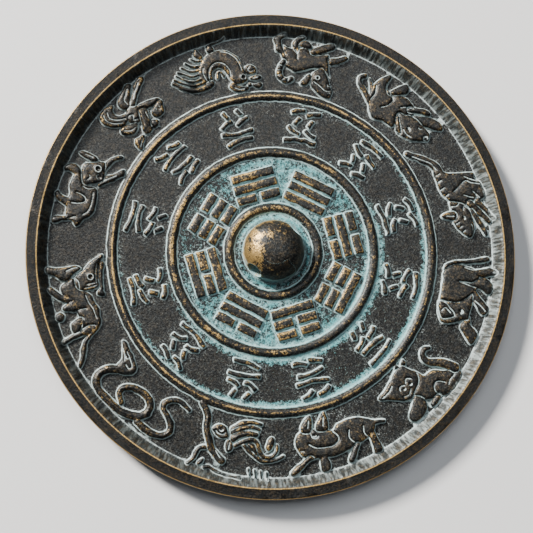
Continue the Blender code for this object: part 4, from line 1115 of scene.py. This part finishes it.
def casting_section(sizes):
    """Lists the whole section from the axis over the rim and back along the plain face."""
    radii = np.array(section_radii(sizes))
    heights = base_height(radii, sizes)
    section = [(float(radius), float(height)) for radius, height in zip(radii, heights)]
    outer = sizes.outer_radius / MM
    low = FACE_EDGE_ROUNDING
    side_top = sizes.rim_height / MM - RIM_EDGE_ROUNDING
    section += [(outer, side_top + (low - side_top) * step / 6) for step in range(1, 7)]
    for step in range(1, 6):
        swing = math.pi / 2 * step / 5
        section.append((outer - low + low * math.cos(swing), low - low * math.sin(swing)))
    section += [(outer * share, 0.0) for share in (0.9, 0.7, 0.5, 0.3, 0.1)]
    return section + [(0.0, 0.0)]


def turned_casting(sizes):
    """Spins a wedge of the section and doubles it until it closes."""
    bm = bmesh.new()
    chain = [bm.verts.new((radius * MM, 0.0, height * MM)) for radius, height in casting_section(sizes)]
    edges = [bm.edges.new(pair) for pair in zip(chain, chain[1:])]
    wedge = math.tau / 2**WEDGE_DOUBLINGS
    bmesh.ops.spin(
        bm,
        geom=chain + edges,
        cent=(0.0, 0.0, 0.0),
        axis=(0.0, 0.0, 1.0),
        angle=wedge,
        steps=STEPS_PER_WEDGE,
        use_merge=False,
    )
    for doubling in range(WEDGE_DOUBLINGS):
        made = bmesh.ops.duplicate(bm, geom=bm.verts[:] + bm.edges[:] + bm.faces[:])
        turned = [item for item in made["geom"] if isinstance(item, bmesh.types.BMVert)]
        turn = Matrix.Rotation(wedge * 2**doubling, 3, "Z")
        bmesh.ops.rotate(bm, cent=(0.0, 0.0, 0.0), matrix=turn, verts=turned)
    bmesh.ops.remove_doubles(bm, verts=bm.verts[:], dist=SEAM_GAP * MM)
    bmesh.ops.recalc_face_normals(bm, faces=bm.faces[:])
    mesh = bpy.data.meshes.new("mirror_casting")
    bm.to_mesh(mesh)
    bm.free()
    return mesh


def read_places(mesh):
    """Reads the places of a mesh's vertices in millimetres."""
    places = np.empty(len(mesh.vertices) * 3)
    mesh.vertices.foreach_get("co", places)
    return places.reshape(-1, 3) / MM


def write_places(mesh, places):
    """Writes the places of a mesh's vertices, given in millimetres."""
    mesh.vertices.foreach_set("co", (places * MM).ravel())
    mesh.update()


def shaped_relief(x, y):
    """Works out all the low relief at some points of the field."""
    relief = Relief(x, y)
    relief.add_bars()
    relief.add_clusters()
    relief.add_animals()
    relief.add_ticks()
    return relief


def tool_marks(radius, azimuth):
    """Gives the short radial marks on the rim's inner wall."""
    turn = azimuth * 1.35
    marks = value_noise(turn, radius * 0.25, 1.0, 7) + 0.6 * value_noise(turn * 2.3, radius * 0.4, 1.0, 8)
    wall = smooth_step(WALL_FOOT_RADIUS, WALL_FOOT_RADIUS + 0.5, radius)
    wall = wall * smooth_step(RIM_INNER_RADIUS, RIM_INNER_RADIUS - 0.5, radius)
    return 0.16 * marks * wall


def shape_casting(mesh, sizes):
    """Moves the upper side's vertices to the relief, the tool marks and the cast surface."""
    places = read_places(mesh)
    x, y, z = places.T
    radius = np.hypot(x, y)
    field = sizes.field_height / MM
    land_end = sizes.outer_radius / MM - RIM_EDGE_ROUNDING
    top = np.nonzero((z > field - 0.01) & (radius < land_end + 0.01))[0]
    relief = shaped_relief(x[top], y[top])
    raised = field + sizes.relief_strength * relief.height
    height = np.maximum(z[top], np.where(radius[top] < RELIEF_END_RADIUS, raised, 0.0))
    height = height + tool_marks(radius[top], relief.azimuth)
    uneven = 0.035 * value_noise(x[top], y[top], 3.1, 11) + 0.02 * value_noise(x[top], y[top], 1.1, 12)
    inner = radius[top] < RIM_INNER_RADIUS
    height = height + np.where(inner, uneven, 0.25 * uneven - 0.02)
    places[top, 2] = np.minimum(height, HIGH_CORNER[2] / MM)
    write_places(mesh, places)


def finished_mesh(obj):
    """Applies an object's modifiers and gives it the mesh that results."""
    graph = bpy.context.evaluated_depsgraph_get()
    mesh = bpy.data.meshes.new_from_object(obj.evaluated_get(graph))
    before = obj.data
    obj.modifiers.clear()
    obj.data = mesh
    bpy.data.meshes.remove(before)
    return mesh


def thin_out(obj):
    """Joins the small triangles of the flat places, so that the casting stays light."""
    triangles = sum(len(face.vertices) - 2 for face in obj.data.polygons)
    thinning = obj.modifiers.new("thinning", "DECIMATE")
    thinning.decimate_type = "COLLAPSE"
    thinning.ratio = min(1.0, MOST_TRIANGLES / triangles)
    finished_mesh(obj)


def cut_bore(obj, sizes):
    """Cuts the cord's bore through the knob."""
    bm = bmesh.new()
    bmesh.ops.create_cone(
        bm,
        cap_ends=True,
        segments=BORE_SIDES,
        radius1=BORE_RADIUS * MM,
        radius2=BORE_RADIUS * MM,
        depth=2 * (KNOB_COLLAR_RADIUS + 0.5) * MM,
    )
    for degrees, axis in ((90.0, "X"), (BORE_AZIMUTH + 90.0, "Z")):
        turn = Matrix.Rotation(math.radians(degrees), 3, axis)
        bmesh.ops.rotate(bm, cent=(0, 0, 0), matrix=turn, verts=bm.verts)
    bmesh.ops.translate(bm, vec=(0, 0, sizes.field_height + BORE_CENTRE_RISE * MM), verts=bm.verts)
    mesh = bpy.data.meshes.new("bore_rod")
    bm.to_mesh(mesh)
    bm.free()
    rod = bpy.data.objects.new("bore_rod", mesh)
    bpy.context.scene.collection.objects.link(rod)
    boring = obj.modifiers.new("boring", "BOOLEAN")
    boring.operation = "DIFFERENCE"
    boring.solver = "EXACT"
    boring.object = rod
    finished_mesh(obj)
    bpy.data.objects.remove(rod, do_unlink=True)
    bpy.data.meshes.remove(mesh)


def check_closed(mesh):
    """Raises an error unless every edge of the mesh joins two faces."""
    bm = bmesh.new()
    bm.from_mesh(mesh)
    open_edges = [edge for edge in bm.edges if len(edge.link_faces) != 2]
    bm.free()
    if open_edges:
        raise RuntimeError("the casting has %d open edges" % len(open_edges))


def write_attribute(mesh, name, values):
    """Keeps a number for each vertex, which the finishes read."""
    attribute = mesh.attributes.new(name, "FLOAT", "POINT")
    attribute.data.foreach_set("value", np.ascontiguousarray(values, dtype=np.float32))


def side_strength(azimuth, facing, low, high):
    """Goes from low to high and back round the mirror, highest at the facing azimuth."""
    return low + (high - low) * (0.5 + 0.5 * np.cos(np.radians(azimuth - facing)))


def bore_places(x, y, z, radius, sizes):
    """Gives the distance from the bore's wall, the points in it and those round its mouth."""
    swing = math.radians(BORE_AZIMUTH)
    beside = x * math.sin(swing) - y * math.cos(swing)
    ahead = x * math.cos(swing) + y * math.sin(swing)
    from_bore = np.hypot(beside, z - sizes.field_height / MM - BORE_CENTRE_RISE) - BORE_RADIUS
    in_bore = (from_bore < 0.05) & (radius < KNOB_RADIUS - 0.1)
    at_mouth = (radius > 4.0) & (radius < KNOB_RADIUS) & (from_bore > 0.0) & (ahead < 0.0)
    return from_bore, in_bore, at_mouth


def field_outline(relief):
    """Gives the distance outside the nearest form: relief, ring, knob or wall."""
    outline = relief.outline
    for middle in RING_RADII:
        outline = np.minimum(outline, np.abs(relief.radius - middle) - RING_LINE_OFFSET)
    outline = np.minimum(outline, relief.radius - KNOB_RADIUS)
    return np.minimum(outline, np.abs(WALL_FOOT_RADIUS - relief.radius) + 0.05)


def zone_shares(radius):
    """Gives how far points lie in the centre, the two bands, the wall and the rim's land."""
    centre = smooth_step(24.6, 23.2, radius)
    middle_band = smooth_step(25.0, 26.5, radius) * smooth_step(39.5, 38.0, radius)
    outer_band = smooth_step(40.0, 41.0, radius) * smooth_step(55.4, 54.6, radius)
    land = smooth_step(RIM_INNER_RADIUS - 0.3, RIM_INNER_RADIUS, radius)
    wall = smooth_step(54.6, 55.2, radius) * (1.0 - land)
    return centre, middle_band, outer_band, wall, land


def verdigris_map(radius, azimuth):
    """Lays the blue green on the centre, the collar, the bands and the feet of the rings."""
    centre, middle_band, outer_band, _, land = zone_shares(radius)
    twice = 0.5 + 0.5 * np.cos(2 * np.radians(azimuth - 75.0))
    collar = smooth_step(9.8, 9.2, radius)
    ring_foot = np.zeros(radius.shape)
    for middle, reach in zip(RING_RADII[1:], (3.4, 2.8)):
        away = np.abs(np.abs(radius - middle) - RING_FOOT_WIDTH / 2)
        ring_foot = np.maximum(ring_foot, smooth_step(reach, 0.0, away))
    inner_feet = side_strength(azimuth, -60.0, 0.34, 0.98)
    outer_feet = side_strength(azimuth, -80.0, 0.12, 0.42)
    verdigris = centre * (0.54 + 0.26 * twice)
    for layer in (
        collar * side_strength(azimuth, 75.0, 0.50, 0.95),
        middle_band * side_strength(azimuth, -60.0, 0.12, 0.42),
        ring_foot * np.where(radius < RING_RADII[2], inner_feet, outer_feet),
        outer_band * side_strength(azimuth, -60.0, 0.04, 0.20),
    ):
        verdigris = np.maximum(verdigris, layer)
    return verdigris * (1.0 - land)


def bloom_and_highlight_map(radius, azimuth):
    """Lays the pale bloom on the centre, the bands, the wall and the rings; on the wall it is heavier where
    the wall faces the key light, a painted highlight.
    """
    centre, middle_band, outer_band, wall, land = zone_shares(radius)
    bloom_and_highlight = centre * 0.85 + middle_band * side_strength(azimuth, -40.0, 0.50, 0.95)
    bloom_and_highlight = bloom_and_highlight + outer_band * side_strength(azimuth, -40.0, 0.22, 0.80)
    # Painted highlight: the wall's pale bloom is heavier on the right, where the wall faces the key light,
    # over a thin bloom all round.
    bloom_and_highlight = bloom_and_highlight + wall * side_strength(azimuth, -15.0, 0.08, 0.52) + 0.03 * land
    for middle in RING_RADII:
        on_ring = np.abs(radius - middle) < RING_PATINA_REACH
        bloom_and_highlight = np.where(on_ring, side_strength(azimuth, -10.0, 0.35, 0.95), bloom_and_highlight)
    return bloom_and_highlight


def gilding_and_highlight_map(x, y, radius, azimuth, side):
    """Gives how bright the relief, the knob, the rings' crests and the side are rubbed, with a painted
    highlight on the knob's and the crests' side toward the key light.
    """
    wall, land = zone_shares(radius)[3:]
    gilding_and_highlight = np.where(radius < 24.0, 0.52, 0.38) * (1.0 - wall)
    # The knob's rubbed gold is heavier on its side toward the key light: real wear with a painted highlight.
    facing = (y * 0.55 - x * 0.83) / KNOB_RADIUS
    gilding_and_highlight = np.where(radius < KNOB_RADIUS, 0.24 + 0.58 * smooth_step(-0.65, 0.60, facing), gilding_and_highlight)
    gilding_and_highlight = np.where(side, 0.40, gilding_and_highlight * (1.0 - land))
    # The crests' rubbed gold is heavier on the mirror's side toward the key light: real wear with a painted
    # highlight.
    ring_gold_and_highlight = side_strength(azimuth, 165.0, 0.56, 0.84)
    for middle, narrow in zip(RING_RADII, (0.0, 0.0, 0.22)):
        away = np.abs(radius - middle)
        on_crest = smooth_step(0.75 - narrow, 0.35 - narrow, away)
        gilding_and_highlight = np.where(away < RING_PATINA_REACH, (ring_gold_and_highlight + narrow) * on_crest, gilding_and_highlight)
    return gilding_and_highlight


def write_finish_maps(mesh, sizes):
    """Works out where the finishes lie and keeps them as attributes of the mesh."""
    x, y, z = read_places(mesh).T
    relief = shaped_relief(x, y)
    radius, azimuth = relief.radius, relief.azimuth
    upper = z > sizes.field_height / MM - 0.4
    side = (radius > sizes.outer_radius / MM - 0.12) & (z < sizes.rim_height / MM - 0.25)
    from_bore, in_bore, at_mouth = bore_places(x, y, z, radius, sizes)
    outline = field_outline(relief)
    outline = np.where(at_mouth, np.minimum(np.abs(outline), from_bore + 0.1), outline)
    rise = np.where(in_bore, 0.0, np.where(upper, z - sizes.field_height / MM, 0.0))
    maps = {
        "outline": np.where(upper, np.clip(outline, -FAR, FAR), FAR),
        "crease": np.where(upper, np.clip(relief.crease, 0.0, FAR), FAR),
        "rise": np.where(side, 0.7, rise),
        "verdigris": np.where(upper, np.where(in_bore, 0.95, verdigris_map(radius, azimuth)), 0.0),
        "bloom_and_highlight": np.where(upper, bloom_and_highlight_map(radius, azimuth), 0.0),
        "gilding_and_highlight": gilding_and_highlight_map(x, y, radius, azimuth, side),
    }
    for name, values in maps.items():
        write_attribute(mesh, name, values)


class Level:
    """A number that a shader tree works out at each point. Arithmetic on it adds Math nodes."""

    def __init__(self, socket):
        self.socket = socket

    def __add__(self, other):
        return add_math("ADD", self, other)

    def __radd__(self, other):
        return add_math("ADD", other, self)

    def __sub__(self, other):
        return add_math("SUBTRACT", self, other)

    def __rsub__(self, other):
        return add_math("SUBTRACT", other, self)

    def __mul__(self, other):
        return add_math("MULTIPLY", self, other)

    def __abs__(self):
        return add_math("ABSOLUTE", self)

    def most(self, other):
        """Gives the greater of two levels."""
        return add_math("MAXIMUM", self, other)

    def held(self):
        """Holds the last node's result between 0 and 1."""
        self.socket.node.use_clamp = True
        return self

    def step(self, low, high, to_low=0.0, to_high=1.0):
        """Goes smoothly from one value to another while this level goes from low to high."""
        node = self.socket.id_data.nodes.new("ShaderNodeMapRange")
        node.interpolation_type = "SMOOTHSTEP"
        values = {"Value": self, "From Min": low, "From Max": high, "To Min": to_low, "To Max": to_high}
        for name, value in values.items():
            connect(value, node.inputs[name])
        return Level(node.outputs["Result"])


def connect(value, socket):
    """Links a level or another socket to a socket, or gives it a plain value."""
    value = value.socket if isinstance(value, Level) else value
    if isinstance(value, bpy.types.NodeSocket):
        socket.id_data.links.new(value, socket)
    else:
        socket.default_value = value


def add_math(operation, first, second=0.0):
    """Adds a Math node to the tree of its levels and gives its result."""
    level = first if isinstance(first, Level) else second
    node = level.socket.id_data.nodes.new("ShaderNodeMath")
    node.operation = operation
    for socket, value in zip(node.inputs, (first, second)):
        connect(value, socket)
    return Level(node.outputs["Value"])


def add_mix(share, first, second):
    """Adds a Mix node that goes from the first colour to the second by a level."""
    node = share.socket.id_data.nodes.new("ShaderNodeMix")
    node.data_type = "RGBA"
    for number, value in zip(MIX_INPUTS, (share, first, second)):
        connect(value, node.inputs[number])
    return node.outputs[MIX_OUTPUT]


def add_noise(place, scale, detail, roughness=0.55):
    """Adds a Noise Texture whose scale is in bumps a millimetre."""
    node = place.id_data.nodes.new("ShaderNodeTexNoise")
    for name, value in (("Scale", scale), ("Detail", detail), ("Roughness", roughness), ("Vector", place)):
        connect(value, node.inputs[name])
    return Level(node.outputs["Fac"])


def blended(first, second, share):
    """Adds up two levels, the second one with a share."""
    return first * (1.0 - share) + second * share


def radial_streaks(place):
    """Gives the distance from the axis, and noise that runs out along the radius."""
    nodes = place.id_data.nodes
    parts = nodes.new("ShaderNodeSeparateXYZ")
    connect(place, parts.inputs["Vector"])
    across, up = Level(parts.outputs["X"]), Level(parts.outputs["Y"])
    radius = add_math("SQRT", across * across + up * up)
    joined = nodes.new("ShaderNodeCombineXYZ")
    connect(add_math("ARCTAN2", up, across) * 60.0, joined.inputs["X"])
    connect(radius * 0.35, joined.inputs["Y"])
    return radius, add_noise(joined.outputs["Vector"], 1.3, 2.0, 0.6)


def new_group(name, inputs, outputs):
    """Makes an empty shader node group with named sockets and gives its two ends."""
    group = bpy.data.node_groups.new(name, "ShaderNodeTree")
    for label, kind in inputs:
        group.interface.new_socket(name=label, in_out="INPUT", socket_type=kind)
    for label, kind in outputs:
        group.interface.new_socket(name=label, in_out="OUTPUT", socket_type=kind)
    return group, group.nodes.new("NodeGroupInput"), group.nodes.new("NodeGroupOutput")


def aged_metal_group():
    """Makes the group that lays tarnish, bloom, verdigris and rubbed metal over bronze, and the painted
    highlights on the lit side of the knob, the rings' crests and the rim's inner wall.
    """
    scalar, colour, vector = "NodeSocketFloat", "NodeSocketColor", "NodeSocketVector"
    labels = (
        "Outline", "Crease", "Rise", "Verdigris Amount", "Bloom And Highlight Amount", "Gilding And Highlight Amount",
        "Inner Edge Radius", "Outer Edge Radius", "Knob Radius",
    )
    colours = ("Bronze", "Brown", "Worn", "Dust", "Verdigris")
    group, given, result = new_group(
        "aged_metal",
        [("Place", vector)] + [(label, scalar) for label in labels] + [(label, colour) for label in colours],
        (("Color", colour), ("Roughness", scalar), ("Metallic", scalar), ("Height", scalar)),
    )
    place = given.outputs["Place"]
    outline, crease, rise, green, pallor, gilding_and_highlight, inner_edge, outer_edge, knob_edge = (
        Level(given.outputs[label]) for label in labels
    )
    bronze, brown, worn_and_highlight, dust_and_highlight, verdigris = (given.outputs[label] for label in colours)
    fine = add_noise(place, 1.9, 2.0, 0.6)
    middle = add_noise(place, 0.75, 3.0, 0.6)
    broad = add_noise(place, 0.14, 2.0)
    grain = add_noise(place, 4.2, 1.0, 0.6)
    patches = add_noise(place, 0.42, 2.0)
    radius, streaks = radial_streaks(place)

    high, low = rise.step(0.42, 0.80), rise.step(0.50, 0.12)
    tarnish = (blended(middle, fine, 0.5).step(0.44, 0.64) * (0.30 + high * 0.60)).held()
    metal = add_mix(tarnish, bronze, brown)
    pitted = blended(fine, grain, 0.65)
    near = outline.step(2.4, 0.2, 0.05, 0.30) * (1.0 - high * 0.80)
    metal = add_mix(pitted.step(0.50, 0.68) * (0.01 + pallor * near), metal, dust_and_highlight)
    metal = add_mix(pitted.step(0.52, 0.40, 0.0, 0.85), metal, BLACK)
    metal = add_mix(radius.step(inner_edge, inner_edge + 0.4, 0.0, 0.55), metal, BLACK)

    line = abs(outline + (patches - 0.5) * 0.55 - 0.05).step(0.21, 0.03)
    broken = patches.step(0.34, 0.54, 0.50, 1.0) * fine.step(0.32, 0.50, 0.50, 1.0)
    lines = (line.most(crease.step(0.17, 0.03)) * broken * (pallor + 0.38)).held()
    threshold = 0.82 - pallor * 0.20 - (broad - 0.5) * 0.50
    flecks = pitted.step(threshold, threshold + 0.12) * (0.03 + low * 0.34)
    wall = radius.step(inner_edge - 2.6, inner_edge - 2.2) * radius.step(inner_edge, inner_edge - 0.35)
    # The wall's pale tool marks follow the bloom amount, so they carry the painted highlight on the wall's
    # lit side too.
    strokes = (wall * pallor * streaks.step(0.42, 0.68, 0.08, 0.72)).held()
    bloom_and_highlight = lines.most(flecks).most(strokes)
    metal = add_mix(bloom_and_highlight, metal, dust_and_highlight)

    spread = blended(middle, pitted, 0.5) * 1.25 - 0.12
    reach = 0.82 - green * 0.56
    growth = (spread.step(reach, reach + 0.24) * low).most(lines * (green * 1.3).held())
    growth = growth * grain.step(0.28, 0.46, 0.45, 1.0)
    lighter = outline.step(1.1, 0.1, 0.0, 0.24) + blended(fine, patches, 0.4).step(0.46, 0.64, 0.0, 0.30)
    metal = add_mix(growth, metal, add_mix(lighter.held(), verdigris, dust_and_highlight))

    on_knob = (radius - knob_edge).step(0.2, -0.6)
    rub = blended(blended(fine, middle, 0.5), grain, 0.3) + (broad - 0.5) * 0.3
    rub = rub + (patches - 0.5) * 0.50 * on_knob + outline.step(-1.0, -0.40, 0.0, 0.09)
    # The gilding amount holds the painted highlight on the lit side of the knob and the rings' crests, so the
    # rubbed metal carries it too.
    start = 0.76 - gilding_and_highlight * 0.36
    rubbed_and_highlight = rub.step(start, start + 0.13) * (high * grain.step(0.34, 0.50, 0.35, 1.0))
    at_rim = rise.step(1.2, 2.2)
    for edge_radius, width in ((inner_edge, 0.20), (outer_edge, 0.15)):
        edge = abs(radius - edge_radius).step(width, 0.04) * rub.step(0.34, 0.56, 0.20, 0.90)
        rubbed_and_highlight = rubbed_and_highlight.most(edge * at_rim).held()
    metal = add_mix(rubbed_and_highlight, metal, worn_and_highlight)

    covered = bloom_and_highlight.most(growth).held()
    results = {
        "Color": metal,
        "Roughness": (0.40 + covered * 0.40 + (fine - 0.5) * 0.30).held(),
        "Metallic": ((1.0 - covered).held() * 0.35 + rubbed_and_highlight * 0.50).held(),
        "Height": blended(fine, grain, 0.35),
    }
    for name, value in results.items():
        connect(value, result.inputs[name])
    return group


def read_attribute(tree, name):
    """Adds a node that reads a number kept on the vertices."""
    node = tree.nodes.new("ShaderNodeAttribute")
    node.attribute_type = "GEOMETRY"
    node.attribute_name = name
    return node.outputs["Fac"]


def aged_material(name, group, colours, maps, grain):
    """Makes a bronze finish from the shared group, with its own colours and maps."""
    material = bpy.data.materials.new(name)
    material.use_nodes = True
    tree = material.node_tree
    shader = tree.nodes["Principled BSDF"]
    metal = tree.nodes.new("ShaderNodeGroup")
    metal.node_tree = group
    place = tree.nodes.new("ShaderNodeTexCoord")
    to_mm = tree.nodes.new("ShaderNodeVectorMath")
    to_mm.operation = "SCALE"
    to_mm.inputs["Scale"].default_value = 1 / MM
    connect(place.outputs["Object"], to_mm.inputs[0])
    connect(to_mm.outputs["Vector"], metal.inputs["Place"])
    for label, value in {**colours, **maps}.items():
        connect(read_attribute(tree, value) if isinstance(value, str) else value, metal.inputs[label])
    relief = tree.nodes.new("ShaderNodeBump")
    relief.inputs["Strength"].default_value = grain
    relief.inputs["Distance"].default_value = GRAIN_DEPTH * MM
    connect(metal.outputs["Height"], relief.inputs["Height"])
    shader.inputs["Specular IOR Level"].default_value = 0.32
    for source, target in (("Color", "Base Color"), ("Roughness", "Roughness"), ("Metallic", "Metallic")):
        connect(metal.outputs[source], shader.inputs[target])
    connect(relief.outputs["Normal"], shader.inputs["Normal"])
    return material


def casting_finishes(colours):
    """Makes the finish of the decorated back and that of the plain face."""
    group = aged_metal_group()
    decorated = aged_material(
        "patinated_back",
        group,
        {
            "Bronze": colours.bronze,
            "Brown": colours.brown,
            "Worn": colours.worn_and_highlight,
            "Dust": colours.dust_and_highlight,
            "Verdigris": colours.verdigris,
        },
        {
            "Outline": "outline",
            "Crease": "crease",
            "Rise": "rise",
            "Verdigris Amount": "verdigris",
            "Bloom And Highlight Amount": "bloom_and_highlight",
            "Gilding And Highlight Amount": "gilding_and_highlight",
            "Inner Edge Radius": RIM_INNER_RADIUS + 0.05,
            "Outer Edge Radius": HIGH_CORNER[0] / MM - 0.12,
            "Knob Radius": KNOB_RADIUS,
        },
        BACK_GRAIN,
    )
    plain = aged_material(
        "plain_face",
        group,
        {
            "Bronze": (0.060, 0.046, 0.032, 1.0),
            "Brown": (0.150, 0.105, 0.060, 1.0),
            "Worn": colours.worn_and_highlight,
            "Dust": colours.dust_and_highlight,
            "Verdigris": colours.verdigris,
        },
        {
            "Outline": FAR,
            "Crease": FAR,
            "Rise": 1.0,
            "Verdigris Amount": 0.1,
            "Bloom And Highlight Amount": 0.1,
            "Gilding And Highlight Amount": 0.45,
            "Inner Edge Radius": -FAR,
            "Outer Edge Radius": -FAR,
        },
        FACE_GRAIN,
    )
    return decorated, plain


class OBJECT_OT_cast_mirror(bpy.types.Operator):
    """Turns the casting, shapes its relief, bores its knob and lays its finishes"""

    bl_idname = "object.cast_mirror"
    bl_label = "Cast Mirror"

    def execute(self, context):
        sizes = context.scene.mirror_sizes
        mesh = turned_casting(sizes)
        shape_casting(mesh, sizes)
        casting = bpy.data.objects.new("mirror_casting", mesh)
        context.scene.collection.objects.link(casting)
        thin_out(casting)
        cut_bore(casting, sizes)
        mesh = casting.data
        check_closed(mesh)
        write_finish_maps(mesh, sizes)
        mesh.materials.clear()
        for finish in casting_finishes(context.scene.mirror_colours):
            mesh.materials.append(finish)
        low = FACE_EDGE_ROUNDING * MM * 0.5
        slots = [1 if face.center.z < low else 0 for face in mesh.polygons]
        mesh.polygons.foreach_set("material_index", slots)
        mesh.shade_smooth()
        mesh.set_sharp_from_angle(angle=math.radians(SHARP_ANGLE))
        mesh.name = "mirror_casting"
        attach(casting, "root")
        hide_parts("mirror")
        return {"FINISHED"}


def add_area_light(name, place, aim, size, power, colour):
    """Adds a square area light that points at a place."""
    data = bpy.data.lights.new(name, "AREA")
    data.shape = "SQUARE"
    data.size = size
    data.energy = power
    data.color = colour
    light = bpy.data.objects.new(name, data)
    light.location = place
    light.rotation_euler = (Vector(aim) - Vector(place)).to_track_quat("-Z", "Y").to_euler()
    bpy.context.scene.collection.objects.link(light)


def floor_finish(colour):
    """Makes the plain pale floor's finish."""
    material = bpy.data.materials.new("pale_floor")
    material.use_nodes = True
    tree = material.node_tree
    shader = tree.nodes["Principled BSDF"]
    place = tree.nodes.new("ShaderNodeTexCoord")
    cloud = tree.nodes.new("ShaderNodeTexNoise")
    cloud.inputs["Scale"].default_value = 9.0
    connect(place.outputs["Object"], cloud.inputs["Vector"])
    darker = [part * 0.97 for part in colour[:3]] + [1.0]
    connect(add_mix(Level(cloud.outputs["Fac"]), darker, colour), shader.inputs["Base Color"])
    shader.inputs["Roughness"].default_value = 0.9
    return material


def add_camera():
    """Places the camera where the mirror is seen from: nearly above, from the lower left."""
    tilt, side = math.radians(CAMERA_TILT), math.radians(CAMERA_AZIMUTH)
    back = Vector((math.sin(tilt) * math.cos(side), math.sin(tilt) * math.sin(side), math.cos(tilt)))
    right = Vector((0.0, 1.0, 0.0)).cross(back).normalized()
    up = back.cross(right)
    data = bpy.data.cameras.new("camera")
    data.lens = CAMERA_LENS
    data.sensor_width = 36.0
    data.clip_start = 0.01
    camera = bpy.data.objects.new("camera", data)
    turned = Matrix((right, up, back)).transposed().to_4x4()
    camera.matrix_world = Matrix.Translation((Vector(CAMERA_AIM) + CAMERA_DISTANCE * back) * MM) @ turned
    bpy.context.scene.collection.objects.link(camera)
    bpy.context.scene.camera = camera


class SCENE_OT_mirror_stage(bpy.types.Operator):
    """Adds the floor, the lights and the camera"""

    bl_idname = "scene.mirror_stage"
    bl_label = "Set Stage"

    def execute(self, context):
        stage = context.scene.mirror_stage
        bm = bmesh.new()
        bmesh.ops.create_grid(bm, x_segments=1, y_segments=1, size=FLOOR_HALF_WIDTH)
        mesh = bpy.data.meshes.new("floor")
        bm.to_mesh(mesh)
        bm.free()
        floor = bpy.data.objects.new("floor", mesh)
        context.scene.collection.objects.link(floor)
        mesh.materials.append(floor_finish(stage.floor_colour))
        key, rise = math.radians(KEY_AZIMUTH), math.radians(KEY_ELEVATION)
        out, up = KEY_DISTANCE * math.cos(rise), KEY_DISTANCE * math.sin(rise)
        place = (out * math.cos(key), out * math.sin(key), up)
        middle = (0.0, 0.0, 0.0)
        add_area_light("key_light", place, middle, 0.34, stage.key_power, (1.0, 0.965, 0.90))
        overhead = (0.02, 0.22, 0.55)
        add_area_light("overhead_light", overhead, middle, 0.40, stage.fill_power, (0.93, 0.97, 1.0))
        world = bpy.data.worlds.new("studio")
        world.use_nodes = True
        sky = world.node_tree.nodes["Background"]
        sky.inputs["Color"].default_value = (0.80, 0.86, 0.92, 1.0)
        sky.inputs["Strength"].default_value = 0.12
        context.scene.world = world
        add_camera()
        return {"FINISHED"}


class VIEW3D_PT_mirror(bpy.types.Panel):
    """Lists the mirror's operators with their sizes and colours"""

    bl_idname = "VIEW3D_PT_mirror"
    bl_label = "Bronze Mirror"
    bl_space_type = "VIEW_3D"
    bl_region_type = "UI"
    bl_category = "Mirror"

    def draw(self, context):
        scene = context.scene
        for group in (scene.mirror_sizes, scene.mirror_colours):
            for name in group.bl_rna.properties.keys():
                if name not in {"rna_type", "name"}:
                    self.layout.prop(group, name)
        self.layout.operator(OBJECT_OT_cast_mirror.bl_idname)
        for name in ("floor_colour", "key_power", "fill_power"):
            self.layout.prop(scene.mirror_stage, name)
        self.layout.operator(SCENE_OT_mirror_stage.bl_idname)


CLASSES = (
    MirrorSizes,
    MirrorColours,
    MirrorStage,
    OBJECT_OT_cast_mirror,
    SCENE_OT_mirror_stage,
    VIEW3D_PT_mirror,
)


def register():
    """Registers the classes and puts the settings on the scene."""
    for cls in CLASSES:
        bpy.utils.register_class(cls)
    bpy.types.Scene.mirror_sizes = bpy.props.PointerProperty(type=MirrorSizes)
    bpy.types.Scene.mirror_colours = bpy.props.PointerProperty(type=MirrorColours)
    bpy.types.Scene.mirror_stage = bpy.props.PointerProperty(type=MirrorStage)


def unregister():
    """Takes the settings off the scene and unregisters the classes."""
    del bpy.types.Scene.mirror_stage
    del bpy.types.Scene.mirror_colours
    del bpy.types.Scene.mirror_sizes
    for cls in reversed(CLASSES):
        bpy.utils.unregister_class(cls)


def main():
    """Builds the mirror and its stage."""
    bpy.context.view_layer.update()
    register()
    bpy.ops.object.cast_mirror()
    bpy.ops.scene.mirror_stage()


if __name__ == "__main__":
    main()
